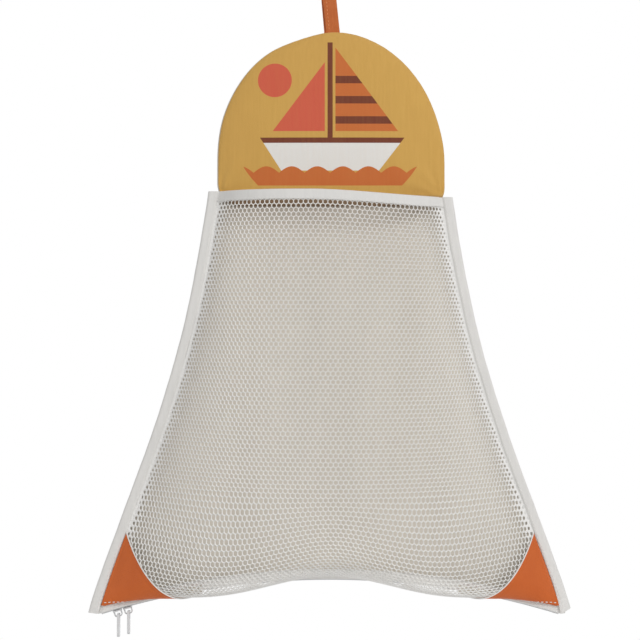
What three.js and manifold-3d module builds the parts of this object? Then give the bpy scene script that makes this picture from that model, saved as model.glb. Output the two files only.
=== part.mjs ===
// Hanging bath toy organizer: a padded head panel on a strap loop, a netting pouch sewn to a cloth
// back panel, bound edges, leatherette corner patches and a two-slider zipper along the bottom.
// Millimetres. X runs right, Y runs back to the wall at y = 0, Z runs up.
// The origin is on the wall, level with the inside top of the strap loop, where a hook carries it.
import * as THREE from 'three';
import { mergeVertices } from 'three/addons/utils/BufferGeometryUtils.js';
import Module from 'manifold-3d';

const wasm = await Module();
wasm.setup();

// Driving dimensions: cloth and seams
const CLOTH = 0.9;
const GAP = 0.3;
const BINDING_WIDTH = 9.5;

// Driving dimensions: strap loop
const STRAP_WIDTH = 14;
const STRAP_THICKNESS = 1.2;
const LOOP_DROP = 60;
const LOOP_BEND_RADIUS = 5;
const STRAP_TAIL = 12;

// Driving dimensions: padded head
const HEAD_HALF_WIDTH = 107;
const HEAD_ARCH_HEIGHT = 124;
const HEAD_HEIGHT = 165;
const HEAD_CORNER_RADIUS = 32;
const HEAD_RIM = 2.6;
const HEAD_CROWN = 8.5;
const HEAD_COVER = 1.1;
const HEAD_SEGMENTS = 40;

// Driving dimensions: pouch
const MOUTH_LAP = 14;
const MOUTH_DROP = HEAD_HEIGHT - MOUTH_LAP;
const MOUTH_HALF_WIDTH = 115;
const BOTTOM_HALF_WIDTH = 226;
const FLARE_STRAIGHT_SHARE = 0.54;
const MOUTH_BOW = 34;
const BELLY_DEPTH = 86;
const MOUTH_FULLNESS = 4;
const BELLY_FULLNESS = 2.3;
const KNEE_RISE = 86;
const SEAM_RAMP = 70;
const CENTRE_SAG = 2;
const SIDE_SAG = 11;
const NET_THICKNESS = 0.9;
const NET_BAYS_ACROSS = 12;
const NET_WALL_BAYS = 7;
const NET_FLOOR_BAYS = 5;
const NET_BAR_SHARE = 0.22;
const NET_HEM_SHARE = 0.04;
const NET_SIDE_CROWDING = 0.5;
const PANEL_EDGE_STEPS = 12;
const PANEL_HEM_STEPS = 28;

// Driving dimensions: corner patches
const PATCH_WIDTH = 96;
const PATCH_HEIGHT = 70;
const PATCH_THICKNESS = 1.1;
const PATCH_CURVE = 1.6;
const PATCH_TIP_HEIGHT = 2.5;
const PATCH_HEM_SHARE = 0.03;
const PATCH_ROWS = 10;
const PATCH_COLUMNS = 14;

// Driving dimensions: zipper
const ZIP_DROP = 365;
const ZIP_SAGITTA = 35;
const ZIP_END_INSET = 3;
const ZIP_HALF_SPAN = BOTTOM_HALF_WIDTH - ZIP_END_INSET;
const TAPE_WALL = 8;
const TAPE_HALF_WIDTH = 5.6;
const TAPE_STEPS = 40;
const CHAIN_END_INSET = 11;
const CHAIN_HALF_SPAN = ZIP_HALF_SPAN - CHAIN_END_INSET;
const CHAIN_HALF_WIDTH = 1.9;
const CHAIN_HALF_HEIGHT = 1.2;
const CHAIN_SLOT = 1.4;
const TOOTH_PITCH = 5.4;
const TOOTH_ROOT = 0.6;
const END_STOP_LENGTH = 3;

// Driving dimensions: sliders and pulls
const SLIDER_LENGTH = 8.6;
const SLIDER_WIDTH = 8.2;
const SLIDER_PLATE = 1.2;
const SLIDER_SPACING = 9.6;
const SLIDER_PARK_INSET = 11;
const SLIDER_PARK = CHAIN_HALF_SPAN - SLIDER_PARK_INSET;
const CROWN_HEIGHT = 5.4;
const CROWN_WALL = 1.2;
const CROWN_THICKNESS = 2;
const PULL_LENGTH = 22;
const PULL_WIDTH = 7.4;
const PULL_THICKNESS = 2.4;
const PULL_ARM = 1.6;
const PULL_BAR = 1.4;

// Layers of the sewn edges, front faces measured from the wall
const BACK_COVER_FRONT = -CLOTH;
const PANEL_BACK = BACK_COVER_FRONT - GAP;
const PANEL_FRONT = PANEL_BACK - CLOTH;
const MOUTH_LEG_BACK = PANEL_FRONT - GAP;
const MOUTH_LEG_FRONT = MOUTH_LEG_BACK - CLOTH;
const NET_EDGE_BACK = MOUTH_LEG_FRONT - GAP;
const NET_EDGE_Y = NET_EDGE_BACK - NET_THICKNESS / 2;
const NET_EDGE_FRONT = NET_EDGE_BACK - NET_THICKNESS;
const EDGE_INSET = CLOTH + GAP;

// Heights that follow from the drops
const HEAD_TOP = -LOOP_DROP;
const HEAD_BOTTOM = HEAD_TOP - HEAD_HEIGHT;
const HEAD_MIDDLE = (HEAD_TOP + HEAD_BOTTOM) / 2;
const MOUTH_TOP = HEAD_TOP - MOUTH_DROP;
const NET_TOP = MOUTH_TOP - EDGE_INSET;
const ZIP_MIDDLE = MOUTH_TOP - ZIP_DROP;

// Zipper arc: a circle in the plane y = ZIP_Y, centred far below the pouch
const ZIP_RADIUS = (ZIP_HALF_SPAN ** 2 + ZIP_SAGITTA ** 2) / (2 * ZIP_SAGITTA);
const ZIP_CENTRE = ZIP_MIDDLE - ZIP_RADIUS;
const TAPE_BACK = PANEL_FRONT - GAP;
const ZIP_Y = TAPE_BACK - TAPE_HALF_WIDTH;
const TAPE_FRONT = ZIP_Y - TAPE_HALF_WIDTH;
const zipHeight = (x) => ZIP_CENTRE + Math.sqrt(ZIP_RADIUS ** 2 - x ** 2);

// Pouch heights on the zipper
const NET_LIFT = TAPE_WALL + GAP;
const POUCH_BOTTOM = zipHeight(BOTTOM_HALF_WIDTH - EDGE_INSET) + NET_LIFT;
const KNEE_TOP = ZIP_MIDDLE + KNEE_RISE;
const BINDING_BOTTOM = zipHeight(BOTTOM_HALF_WIDTH - BINDING_WIDTH - GAP) + NET_LIFT;

const COLOURS = {
  gold: [0xd9ab55, 0.85, 0],
  orange: [0xc4602a, 0.6, 0],
  white: [0xe9e7e3, 0.85, 0],
  cream: [0xe6dfd2, 0.9, 0],
  foam: [0xe8e2c8, 0.95, 0],
  enamel: [0xe4e4e4, 0.35, 0.3],
};

function material(name) {
  const [color, roughness, metalness] = COLOURS[name];
  return new THREE.MeshStandardMaterial({ color, roughness, metalness });
}

function piece(name, geometry, colour) {
  const mesh = new THREE.Mesh(geometry, material(colour));
  mesh.name = name;
  return mesh;
}

// Builds a closed body from points and triangles, with its faces turned outwards
function solid(points, triangles) {
  let volume = 0;
  const cross = new THREE.Vector3();
  for (let i = 0; i < triangles.length; i += 3) {
    const [a, b, c] = [points[triangles[i]], points[triangles[i + 1]], points[triangles[i + 2]]];
    volume += a.dot(cross.crossVectors(b, c));
  }
  const geometry = new THREE.BufferGeometry().setFromPoints(points);
  geometry.setIndex(volume < 0 ? triangles.slice().reverse() : triangles);
  return geometry;
}

// Triangulates an end ring; the faces follow the ring's order, or run against it when reversed
function capFaces(ring, flatten, offset, reversed) {
  const flat = ring.map(flatten);
  const turn = Math.sign(THREE.ShapeUtils.area(flat));
  return THREE.ShapeUtils.triangulateShape(flat, []).flatMap(([a, b, c]) => {
    const follows = Math.sign(THREE.ShapeUtils.area([flat[a], flat[b], flat[c]])) === turn;
    const ordered = follows !== reversed ? [a, b, c] : [a, c, b];
    return ordered.map((index) => index + offset);
  });
}

// Skins a list of closed rings of equal count; flatten maps an end ring to 2-D for its cap
function loft(rings, flatten) {
  const count = rings[0].length;
  const triangles = [];
  for (let r = 0; r + 1 < rings.length; r += 1) {
    for (let i = 0; i < count; i += 1) {
      const a = r * count + i;
      const b = r * count + ((i + 1) % count);
      triangles.push(a, b, b + count, a, b + count, a + count);
    }
  }
  const last = rings.length - 1;
  triangles.push(...capFaces(rings[0], flatten, 0, true));
  triangles.push(...capFaces(rings[last], flatten, last * count, false));
  return solid(rings.flat(), triangles);
}

// Closes two grids of equal size, the outer and the inner face of a sheet, into one thin body;
// isOpen names the cells that are holes, and from mirrorFrom on the quads split the other way
function sheet(outer, inner, isOpen = () => false, mirrorFrom = Infinity) {
  const rows = outer.length;
  const columns = outer[0].length;
  const start = rows * columns;
  const at = (r, c) => r * columns + c;
  const triangles = [];
  const quad = (a, b, c, d) => triangles.push(a, b, c, a, c, d);
  const isCloth = (r, c) => r >= 0 && c >= 0 && r < rows - 1 && c < columns - 1 && !isOpen(r, c);
  const wall = (a, b) => quad(b, a, start + a, start + b);
  for (let r = 0; r + 1 < rows; r += 1) {
    for (let c = 0; c + 1 < columns; c += 1) {
      if (!isCloth(r, c)) continue;
      const [a, b, e, d] = [at(r, c), at(r, c + 1), at(r + 1, c + 1), at(r + 1, c)];
      if (c < mirrorFrom) {
        quad(a, b, e, d);
        quad(start + a, start + d, start + e, start + b);
      } else {
        quad(b, e, d, a);
        quad(start + d, start + e, start + b, start + a);
      }
      if (!isCloth(r - 1, c)) wall(a, b);
      if (!isCloth(r, c + 1)) wall(b, e);
      if (!isCloth(r + 1, c)) wall(e, d);
      if (!isCloth(r, c - 1)) wall(d, a);
    }
  }
  return solid([...outer.flat(), ...inner.flat()], triangles);
}

function toManifold(geometry) {
  const bare = geometry.clone();
  bare.deleteAttribute('normal');
  bare.deleteAttribute('uv');
  const merged = mergeVertices(bare);
  const vertProperties = new Float32Array(merged.attributes.position.array);
  const triVerts = new Uint32Array(merged.index.array);
  return new wasm.Manifold(new wasm.Mesh({ numProp: 3, vertProperties, triVerts }));
}

function fromManifold(body) {
  const { vertProperties, triVerts } = body.getMesh();
  const geometry = new THREE.BufferGeometry();
  geometry.setAttribute('position', new THREE.BufferAttribute(new Float32Array(vertProperties), 3));
  geometry.setIndex(new THREE.BufferAttribute(new Uint32Array(triVerts), 1));
  return geometry;
}

// A box between two corners
function block(low, high) {
  const size = high.clone().sub(low);
  const geometry = new THREE.BoxGeometry(size.x, size.y, size.z);
  return geometry.translate(...low.clone().add(high).multiplyScalar(0.5).toArray());
}

// An outline drawn in X and Z, extruded from the plane y = back towards the front
function frontPlate(shape, back, thickness) {
  const geometry = new THREE.ExtrudeGeometry(shape, { depth: thickness, bevelEnabled: false });
  return geometry.rotateX(Math.PI / 2).translate(0, back, 0);
}

// An outline drawn in Y and Z, extruded along X and centred on x = 0
function sidePlate(shape, width, curveSegments) {
  const options = { depth: width, bevelEnabled: false, curveSegments };
  const geometry = new THREE.ExtrudeGeometry(shape, options).translate(0, 0, -width / 2);
  const axes = new THREE.Matrix4().makeBasis(
    new THREE.Vector3(0, 1, 0),
    new THREE.Vector3(0, 0, 1),
    new THREE.Vector3(1, 0, 0),
  );
  return geometry.applyMatrix4(axes);
}

const smooth = (value) => THREE.MathUtils.smoothstep(value, 0, 1);
const steps = (count) => Array.from({ length: count + 1 }, (_, i) => i / count);
const flatXY = (p) => new THREE.Vector2(p.x, p.y);
const flatXZ = (p) => new THREE.Vector2(p.x, p.z);
const flatYZ = (p) => new THREE.Vector2(p.y, p.z);

// Head panel: an arch over straight sides with rounded lower corners
function headOutline() {
  const shape = new THREE.Shape();
  const arch = HEAD_TOP - HEAD_ARCH_HEIGHT;
  const corner = HEAD_HALF_WIDTH - HEAD_CORNER_RADIUS;
  shape.absellipse(0, arch, HEAD_HALF_WIDTH, HEAD_ARCH_HEIGHT, 0, Math.PI, false);
  const foot = HEAD_BOTTOM + HEAD_CORNER_RADIUS;
  shape.absarc(-corner, foot, HEAD_CORNER_RADIUS, Math.PI, 1.5 * Math.PI, false);
  shape.absarc(corner, foot, HEAD_CORNER_RADIUS, 1.5 * Math.PI, 2 * Math.PI, false);
  shape.closePath();
  return shape;
}

// One ring of the head, drawn in from the outline by a share towards the middle
function headRing(inset, share, y) {
  const points = headOutline().getSpacedPoints(HEAD_SEGMENTS).slice(0, HEAD_SEGMENTS);
  return points.map((p) => {
    const fitX = (HEAD_HALF_WIDTH - inset) / HEAD_HALF_WIDTH;
    const fitZ = (HEAD_HEIGHT / 2 - inset) / (HEAD_HEIGHT / 2);
    return new THREE.Vector3(p.x * fitX * share, y, HEAD_MIDDLE + (p.y - HEAD_MIDDLE) * fitZ * share);
  });
}

// The pad's crown: flat in the middle, rounding over to the rim
const crownRise = (share) => HEAD_CROWN * Math.sqrt(1 - share ** 3);
const CROWN_SHARES = [1, 0.985, 0.95, 0.88, 0.75, 0.5, 0.2];

function crownRings(inset, rimY) {
  return CROWN_SHARES.map((share) => headRing(inset, share, rimY - crownRise(share)));
}

// Slots in the head's seam: the strap tail at the top, the back panel's edge at the bottom
function seamSlots() {
  const tailFront = BACK_COVER_FRONT - GAP - 2 * STRAP_THICKNESS - GAP;
  const tail = block(
    new THREE.Vector3(-STRAP_WIDTH / 2 - GAP, tailFront, HEAD_TOP - STRAP_TAIL - GAP),
    new THREE.Vector3(STRAP_WIDTH / 2 + GAP, 0, HEAD_TOP + STRAP_TAIL),
  );
  const panel = block(
    new THREE.Vector3(-BOTTOM_HALF_WIDTH, PANEL_FRONT - GAP, HEAD_BOTTOM - BINDING_WIDTH),
    new THREE.Vector3(BOTTOM_HALF_WIDTH, 0, MOUTH_TOP + GAP),
  );
  return toManifold(tail).add(toManifold(panel));
}

function headFrontCover() {
  const rimY = BACK_COVER_FRONT - GAP;
  const outer = [headRing(0, 1, rimY), ...crownRings(0, rimY - HEAD_RIM)];
  const inner = [headRing(HEAD_COVER, 1, rimY), ...crownRings(HEAD_COVER, rimY - HEAD_RIM + HEAD_COVER)];
  const shell = loft([...inner.reverse(), ...outer], flatXZ);
  return fromManifold(toManifold(shell).subtract(seamSlots()));
}

function headFoamCore() {
  const backY = PANEL_FRONT - GAP;
  const inset = HEAD_COVER + GAP;
  const rimY = BACK_COVER_FRONT - GAP - HEAD_RIM + HEAD_COVER + GAP;
  const core = loft([headRing(inset, 1, backY), ...crownRings(inset, rimY)], flatXZ);
  return fromManifold(toManifold(core).subtract(seamSlots()));
}

const headBackCover = () => frontPlate(headOutline(), 0, CLOTH);

// Strap loop: a teardrop of folded webbing that leans forward off the wall, over a flat double tail
function hangingLoop() {
  const outerRadius = LOOP_BEND_RADIUS + STRAP_THICKNESS;
  const tailBack = BACK_COVER_FRONT - GAP;
  const tailFront = tailBack - 2 * STRAP_THICKNESS;
  const centre = new THREE.Vector2(tailBack - outerRadius, -LOOP_BEND_RADIUS);
  const tailBottom = HEAD_TOP - STRAP_TAIL;
  const fork = new THREE.Vector2(tailBack - STRAP_THICKNESS, HEAD_TOP + STRAP_TAIL / 2);
  const frontTurn = tangentAngle(new THREE.Vector2(tailFront, HEAD_TOP), centre, outerRadius);
  const outline = new THREE.Shape();
  outline.moveTo(tailFront, tailBottom);
  outline.lineTo(tailBack, tailBottom);
  outline.absarc(centre.x, centre.y, outerRadius, 0, frontTurn, false);
  outline.lineTo(tailFront, HEAD_TOP);
  outline.closePath();
  const eye = new THREE.Path();
  eye.moveTo(fork.x, fork.y);
  eye.lineTo(centre.x + LOOP_BEND_RADIUS, centre.y);
  eye.absarc(centre.x, centre.y, LOOP_BEND_RADIUS, 0, tangentAngle(fork, centre, LOOP_BEND_RADIUS), false);
  eye.closePath();
  outline.holes.push(eye);
  return sidePlate(outline, STRAP_WIDTH, 10);
}

// Angle on a circle where the line from a point below it touches the circle's front side
function tangentAngle(point, centre, radius) {
  const away = point.clone().sub(centre);
  return Math.atan2(away.y, away.x) + 2 * Math.PI - Math.acos(radius / away.length());
}

// Half width of the pouch at a share of its height, 0 at the mouth and 1 at the bottom
function halfWidth(share) {
  const curved = 3 * share ** 3 - 2 * share ** 4;
  const flare = THREE.MathUtils.lerp(curved, share, FLARE_STRAIGHT_SHARE);
  return MOUTH_HALF_WIDTH + (BOTTOM_HALF_WIDTH - MOUTH_HALF_WIDTH) * flare;
}

const sideShare = (z) => (MOUTH_TOP - z) / (MOUTH_TOP - POUCH_BOTTOM);

// The net's seam on the zipper, and the step that brings the sewn edge forward to it
const seamHeight = (x) => zipHeight(x) + NET_LIFT;
const SEAM_STEP = NET_EDGE_Y - (TAPE_FRONT - GAP - NET_THICKNESS);
const edgeStep = (x, z) => SEAM_STEP * smooth((seamHeight(x) + SEAM_RAMP - z) / SEAM_RAMP);

// Back panel: one cloth from the head's seam to the zipper, with the flare on both sides
function backPanel() {
  const shape = new THREE.Shape();
  const edge = steps(PANEL_EDGE_STEPS).map((share) => [
    halfWidth(share) - EDGE_INSET,
    THREE.MathUtils.lerp(MOUTH_TOP, POUCH_BOTTOM, share),
  ]);
  const hemHalf = ZIP_HALF_SPAN - GAP;
  const hem = steps(PANEL_HEM_STEPS).map((share) => {
    const x = THREE.MathUtils.lerp(hemHalf, -hemHalf, share);
    return [x, zipHeight(x) + CLOTH + GAP];
  });
  const left = edge.map(([x, z]) => [-x, z]).reverse();
  shape.setFromPoints([...edge, ...hem, ...left].map(([x, z]) => new THREE.Vector2(x, z)));
  return frontPlate(shape, PANEL_BACK, CLOTH);
}

// How far the net hangs below its seam on the zipper, at a share across of -1 to 1
const netSag = (across) => (CENTRE_SAG + SIDE_SAG * Math.sin(Math.PI * across) ** 2) * (1 - across ** 4);

// Net surface. Across runs -1 to 1 over the free net and on to -2 and 2 over the flat edges inside the
// side bindings. Down runs 0 at the mouth, 1 at the belly's widest row and 2 at the zipper, and the
// floor below the belly is part of an ellipse.
function netPoint(across, down) {
  const wall = Math.min(down, 1);
  const floor = Math.max(down - 1, 0);
  const bag = THREE.MathUtils.clamp(across, -1, 1);
  const bound = BINDING_WIDTH + GAP;
  const spread = (outer) => bag * (outer - bound) + (across - bag) * (bound - EDGE_INSET);
  const wallZ = THREE.MathUtils.lerp(NET_TOP, KNEE_TOP, wall);
  const edgeZ = wallZ - (KNEE_TOP - POUCH_BOTTOM) * Math.sin((floor * Math.PI) / 2);
  const seam = seamHeight(spread(BOTTOM_HALF_WIDTH));
  const fall = KNEE_TOP - seam + netSag(bag);
  const turn = Math.PI - Math.asin((KNEE_TOP - seam) / fall);
  const close = (Math.cos(floor * turn) - Math.cos(turn)) / (1 - Math.cos(turn));
  const depth = THREE.MathUtils.lerp(MOUTH_BOW, BELLY_DEPTH, smooth(wall)) * close;
  const fullness = 1 - Math.abs(bag) ** THREE.MathUtils.lerp(MOUTH_FULLNESS, BELLY_FULLNESS, wall);
  const x = spread(halfWidth(sideShare(edgeZ)));
  const z = wallZ - fall * Math.sin(floor * turn);
  return new THREE.Vector3(x, NET_EDGE_Y - edgeStep(x, z) - depth * fullness, z);
}

// Outward normal of the net, from its two directions
function netNormal(across, down) {
  const nudge = 1e-3;
  const a = netPoint(Math.min(across + nudge, 2), down).sub(netPoint(Math.max(across - nudge, -2), down));
  const d = netPoint(across, Math.min(down + nudge, 2)).sub(netPoint(across, Math.max(down - nudge, 0)));
  return d.cross(a).normalize();
}

const netOffset = (across, down, distance) =>
  netPoint(across, down).addScaledVector(netNormal(across, down), distance);

// Both edges of the opening in each bay, with half a bar left at the bay's two ends
const openingEdges = (bays) => bays.slice(1).flatMap((end, n) => {
  const bar = ((end - bays[n]) * NET_BAR_SHARE) / 2;
  return [bays[n] + bar, end - bar];
});

const crowded = (share) => Math.sin((share - 0.5) * Math.PI);
const FREE_BAYS = steps(NET_BAYS_ACROSS).map((share) =>
  THREE.MathUtils.lerp(2 * share - 1, crowded(share), NET_SIDE_CROWDING));
const WALL_BAYS = steps(NET_WALL_BAYS).map((share) => THREE.MathUtils.lerp(NET_HEM_SHARE, 1, share));
const FLOOR_BAYS = steps(NET_FLOOR_BAYS).map((share) => THREE.MathUtils.lerp(1, 2 - NET_HEM_SHARE, share));
const FREE_COLUMNS = [-1, ...openingEdges(FREE_BAYS), 1];
const NET_ROWS = [0, ...openingEdges(WALL_BAYS), ...openingEdges(FLOOR_BAYS), 2];

// Net front: a coarse grid of openings that stands for the netting's holes
function meshFront() {
  const columns = [-2, ...FREE_COLUMNS, 2];
  const row = (down, distance) => columns.map((across) => netOffset(across, down, distance));
  const grid = (distance) => NET_ROWS.map((down) => row(down, distance));
  const isOpen = (r, c) => r % 2 === 1 && r < NET_ROWS.length - 1
    && c % 2 === 0 && c > 0 && c < columns.length - 2;
  return sheet(grid(NET_THICKNESS / 2), grid(-NET_THICKNESS / 2), isOpen, columns.length / 2);
}

// Mouth binding: a folded tape over the net's top edge, from one side binding to the other
function mouthBinding() {
  const inside = NET_THICKNESS / 2 + GAP;
  const outside = inside + CLOTH;
  const section = [
    [-outside, 0], [outside, 0], [outside, BINDING_WIDTH], [inside, BINDING_WIDTH],
    [inside, CLOTH], [-inside, CLOTH], [-inside, BINDING_WIDTH], [-outside, BINDING_WIDTH],
  ];
  const end = 1 - (2 * outside) / (MOUTH_HALF_WIDTH - BINDING_WIDTH);
  const columns = [-end, ...FREE_COLUMNS.filter((across) => Math.abs(across) < end), end];
  const rings = columns.map((across) => section.map(([out, drop]) => {
    const down = Math.max(0, drop - EDGE_INSET) / (NET_TOP - KNEE_TOP);
    return netOffset(across, down, out).setZ(MOUTH_TOP - drop);
  }));
  return loft(rings, flatYZ);
}

// Side binding: a folded tape round the back panel's and the net's edge; side is -1 or 1
function sideBinding(side) {
  const rows = NET_ROWS.map((down) => netPoint(2, down).z).filter((z) => z > BINDING_BOTTOM + CLOTH);
  const rings = [MOUTH_TOP, ...rows, BINDING_BOTTOM].map((z) => {
    const edge = halfWidth(sideShare(z));
    const legBack = (inward) => NET_EDGE_FRONT - GAP - edgeStep(edge - inward, z);
    const section = [
      [0, 0], [BINDING_WIDTH, 0], [BINDING_WIDTH, -CLOTH], [CLOTH, -CLOTH],
      [CLOTH, legBack(CLOTH)], [BINDING_WIDTH, legBack(BINDING_WIDTH)],
      [BINDING_WIDTH, legBack(BINDING_WIDTH) - CLOTH], [0, legBack(0) - CLOTH],
    ];
    return section.map(([inward, y]) => new THREE.Vector3(side * (edge - inward), y, z));
  });
  return loft(rings, flatXY);
}

// Corner patch: leatherette laid on the net, with a hollow slanting edge; side is -1 or 1
function cornerPatch(side) {
  const free = BOTTOM_HALF_WIDTH - BINDING_WIDTH - GAP;
  const tip = 1 - PATCH_WIDTH / free;
  const seated = 1 - PATCH_THICKNESS / free;
  const rise = KNEE_TOP - POUCH_BOTTOM;
  const grid = (distance) => steps(PATCH_ROWS).map((fall) => steps(PATCH_COLUMNS).map((share) => {
    const height = THREE.MathUtils.lerp(PATCH_TIP_HEIGHT, PATCH_HEIGHT, share ** PATCH_CURVE);
    const floorTop = Math.asin(1 - Math.min(1, height / rise)) / (Math.PI / 2);
    const down = THREE.MathUtils.lerp(1 + floorTop, 2 - PATCH_HEM_SHARE, fall);
    return netOffset(side * THREE.MathUtils.lerp(tip, seated, share), down, distance);
  }));
  const seat = NET_THICKNESS / 2 + GAP;
  return sheet(grid(seat + PATCH_THICKNESS), grid(seat));
}

// A point on the zipper arc, along it from the middle, at a width y and a height off the arc
function onZip(along, y, height) {
  const angle = along / ZIP_RADIUS;
  const radius = ZIP_RADIUS + height;
  return new THREE.Vector3(radius * Math.sin(angle), y, ZIP_CENTRE + radius * Math.cos(angle));
}

const zipLength = (halfSpan) => ZIP_RADIUS * Math.asin(halfSpan / ZIP_RADIUS);

// Zipper tape: a floor beside the chain, turned up at its outer edge; side is -1 front, 1 back
function zipperTape(side) {
  const inner = CHAIN_HALF_WIDTH + GAP;
  const section = [
    [inner, 0], [TAPE_HALF_WIDTH, 0], [TAPE_HALF_WIDTH, TAPE_WALL],
    [TAPE_HALF_WIDTH - CLOTH, TAPE_WALL], [TAPE_HALF_WIDTH - CLOTH, CLOTH], [inner, CLOTH],
  ];
  const reach = zipLength(ZIP_HALF_SPAN);
  const rings = steps(TAPE_STEPS).map((share) => {
    const along = THREE.MathUtils.lerp(-reach, reach, share);
    return section.map(([out, up]) => onZip(along, ZIP_Y + side * out, up));
  });
  return loft(rings, flatYZ);
}

// Zipper teeth: one comb with a bead along the tape; the two sides are half a pitch apart
function zipperTeeth(side) {
  const reach = zipLength(CHAIN_HALF_SPAN);
  const halves = 2 * Math.floor((2 * reach) / TOOTH_PITCH);
  const root = CHAIN_HALF_WIDTH - TOOTH_ROOT;
  const widths = [CHAIN_SLOT / 2, root, CHAIN_HALF_WIDTH];
  const points = [];
  const triangles = [];
  const at = (station, width, top) => (station * 3 + width) * 2 + top;
  const quad = (a, b, c, d) => triangles.push(a, b, c, a, c, d);
  for (let station = 0; station <= halves; station += 1) {
    const along = THREE.MathUtils.lerp(-reach, reach, station / halves);
    for (const width of widths) {
      points.push(onZip(along, ZIP_Y + side * width, -CHAIN_HALF_HEIGHT));
      points.push(onZip(along, ZIP_Y + side * width, CHAIN_HALF_HEIGHT));
    }
  }
  const isTooth = (cell) => cell >= 0 && cell < halves && (cell % 2 === 0) === (side > 0);
  const face = (n, from, to) => {
    quad(at(n, from, 1), at(n, to, 1), at(n + 1, to, 1), at(n + 1, from, 1));
    quad(at(n, from, 0), at(n + 1, from, 0), at(n + 1, to, 0), at(n, to, 0));
  };
  for (let n = 0; n < halves; n += 1) {
    const inner = isTooth(n) ? 0 : 1;
    face(n, 1, 2);
    if (isTooth(n)) face(n, 0, 1);
    quad(at(n, 2, 0), at(n + 1, 2, 0), at(n + 1, 2, 1), at(n, 2, 1));
    quad(at(n, inner, 0), at(n, inner, 1), at(n + 1, inner, 1), at(n + 1, inner, 0));
  }
  for (let n = 0; n <= halves; n += 1) {
    if (isTooth(n) && !isTooth(n - 1)) quad(at(n, 0, 0), at(n, 1, 0), at(n, 1, 1), at(n, 0, 1));
    if (isTooth(n - 1) && !isTooth(n)) quad(at(n, 0, 0), at(n, 0, 1), at(n, 1, 1), at(n, 1, 0));
  }
  quad(at(0, 1, 0), at(0, 2, 0), at(0, 2, 1), at(0, 1, 1));
  quad(at(halves, 1, 0), at(halves, 1, 1), at(halves, 2, 1), at(halves, 2, 0));
  return mergeVertices(solid(points, triangles).toNonIndexed());
}

// End stop: a clip across the chain's end; side is -1 or 1
function endStop(side) {
  const near = zipLength(CHAIN_HALF_SPAN) + GAP;
  const section = [
    [-CHAIN_HALF_WIDTH, -CHAIN_HALF_HEIGHT], [CHAIN_HALF_WIDTH, -CHAIN_HALF_HEIGHT],
    [CHAIN_HALF_WIDTH, CHAIN_HALF_HEIGHT], [-CHAIN_HALF_WIDTH, CHAIN_HALF_HEIGHT],
  ];
  const rings = [near, near + END_STOP_LENGTH].map((along) =>
    section.map(([out, up]) => onZip(side * along, ZIP_Y + out, up)));
  return loft(rings, flatYZ);
}

// Slider in its own frame: x along the chain, z off the arc, the chain's middle at the origin
const SLIDER_TOP = CHAIN_HALF_HEIGHT + GAP + SLIDER_PLATE;
const CROWN_EYE = CROWN_HEIGHT - CROWN_WALL;
const PIVOT_DEPTH = SLIDER_TOP + CROWN_EYE - PULL_BAR / 2 - GAP;

function roundedPlate(bottom, top) {
  const shape = new THREE.Shape();
  const corner = SLIDER_WIDTH / 3;
  const [w, l] = [SLIDER_WIDTH / 2, SLIDER_LENGTH / 2];
  shape.absarc(l - corner, -w + corner, corner, -Math.PI / 2, 0, false);
  shape.absarc(l - corner, w - corner, corner, 0, Math.PI / 2, false);
  shape.absarc(-l + corner, w - corner, corner, Math.PI / 2, Math.PI, false);
  shape.absarc(-l + corner, -w + corner, corner, Math.PI, 1.5 * Math.PI, false);
  const options = { depth: top - bottom, bevelEnabled: false, curveSegments: 4 };
  return new THREE.ExtrudeGeometry(shape, options).translate(0, 0, bottom);
}

function sliderBody() {
  const under = CHAIN_HALF_HEIGHT + GAP;
  const post = CHAIN_SLOT / 2 - GAP;
  const half = SLIDER_LENGTH / 2;
  const crown = new THREE.Shape();
  const eye = new THREE.Path();
  const crownBase = -SLIDER_TOP + SLIDER_PLATE / 2;
  const crownRadius = CROWN_HEIGHT / 2;
  crown.moveTo(half - GAP, crownBase);
  crown.lineTo(-half + GAP, crownBase);
  const crownSide = half - GAP - crownRadius;
  const crownFoot = -SLIDER_TOP - crownRadius;
  crown.absarc(-crownSide, crownFoot, crownRadius, Math.PI, 1.5 * Math.PI, false);
  crown.absarc(crownSide, crownFoot, crownRadius, 1.5 * Math.PI, 2 * Math.PI, false);
  crown.closePath();
  const eyeHalf = half - GAP - CROWN_WALL;
  const eyeRadius = crownRadius - CROWN_WALL;
  eye.moveTo(eyeHalf, -SLIDER_TOP - GAP);
  eye.lineTo(-eyeHalf, -SLIDER_TOP - GAP);
  const eyeSide = eyeHalf - eyeRadius;
  const eyeFoot = -SLIDER_TOP - CROWN_EYE + eyeRadius;
  eye.absarc(-eyeSide, eyeFoot, eyeRadius, Math.PI, 1.5 * Math.PI, false);
  eye.absarc(eyeSide, eyeFoot, eyeRadius, 1.5 * Math.PI, 2 * Math.PI, false);
  eye.closePath();
  crown.holes.push(eye);
  const options = { depth: CROWN_THICKNESS, bevelEnabled: false, curveSegments: 4 };
  const arch = new THREE.ExtrudeGeometry(crown, options);
  arch.rotateX(Math.PI / 2).translate(0, CROWN_THICKNESS / 2, 0);
  const postBlock = block(
    new THREE.Vector3(0, -post, -under - SLIDER_PLATE / 2),
    new THREE.Vector3(half - GAP, post, under + SLIDER_PLATE / 2),
  );
  const body = toManifold(roundedPlate(under, SLIDER_TOP))
    .add(toManifold(roundedPlate(-SLIDER_TOP, -under)))
    .add(toManifold(postBlock))
    .add(toManifold(arch));
  return fromManifold(body);
}

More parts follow.
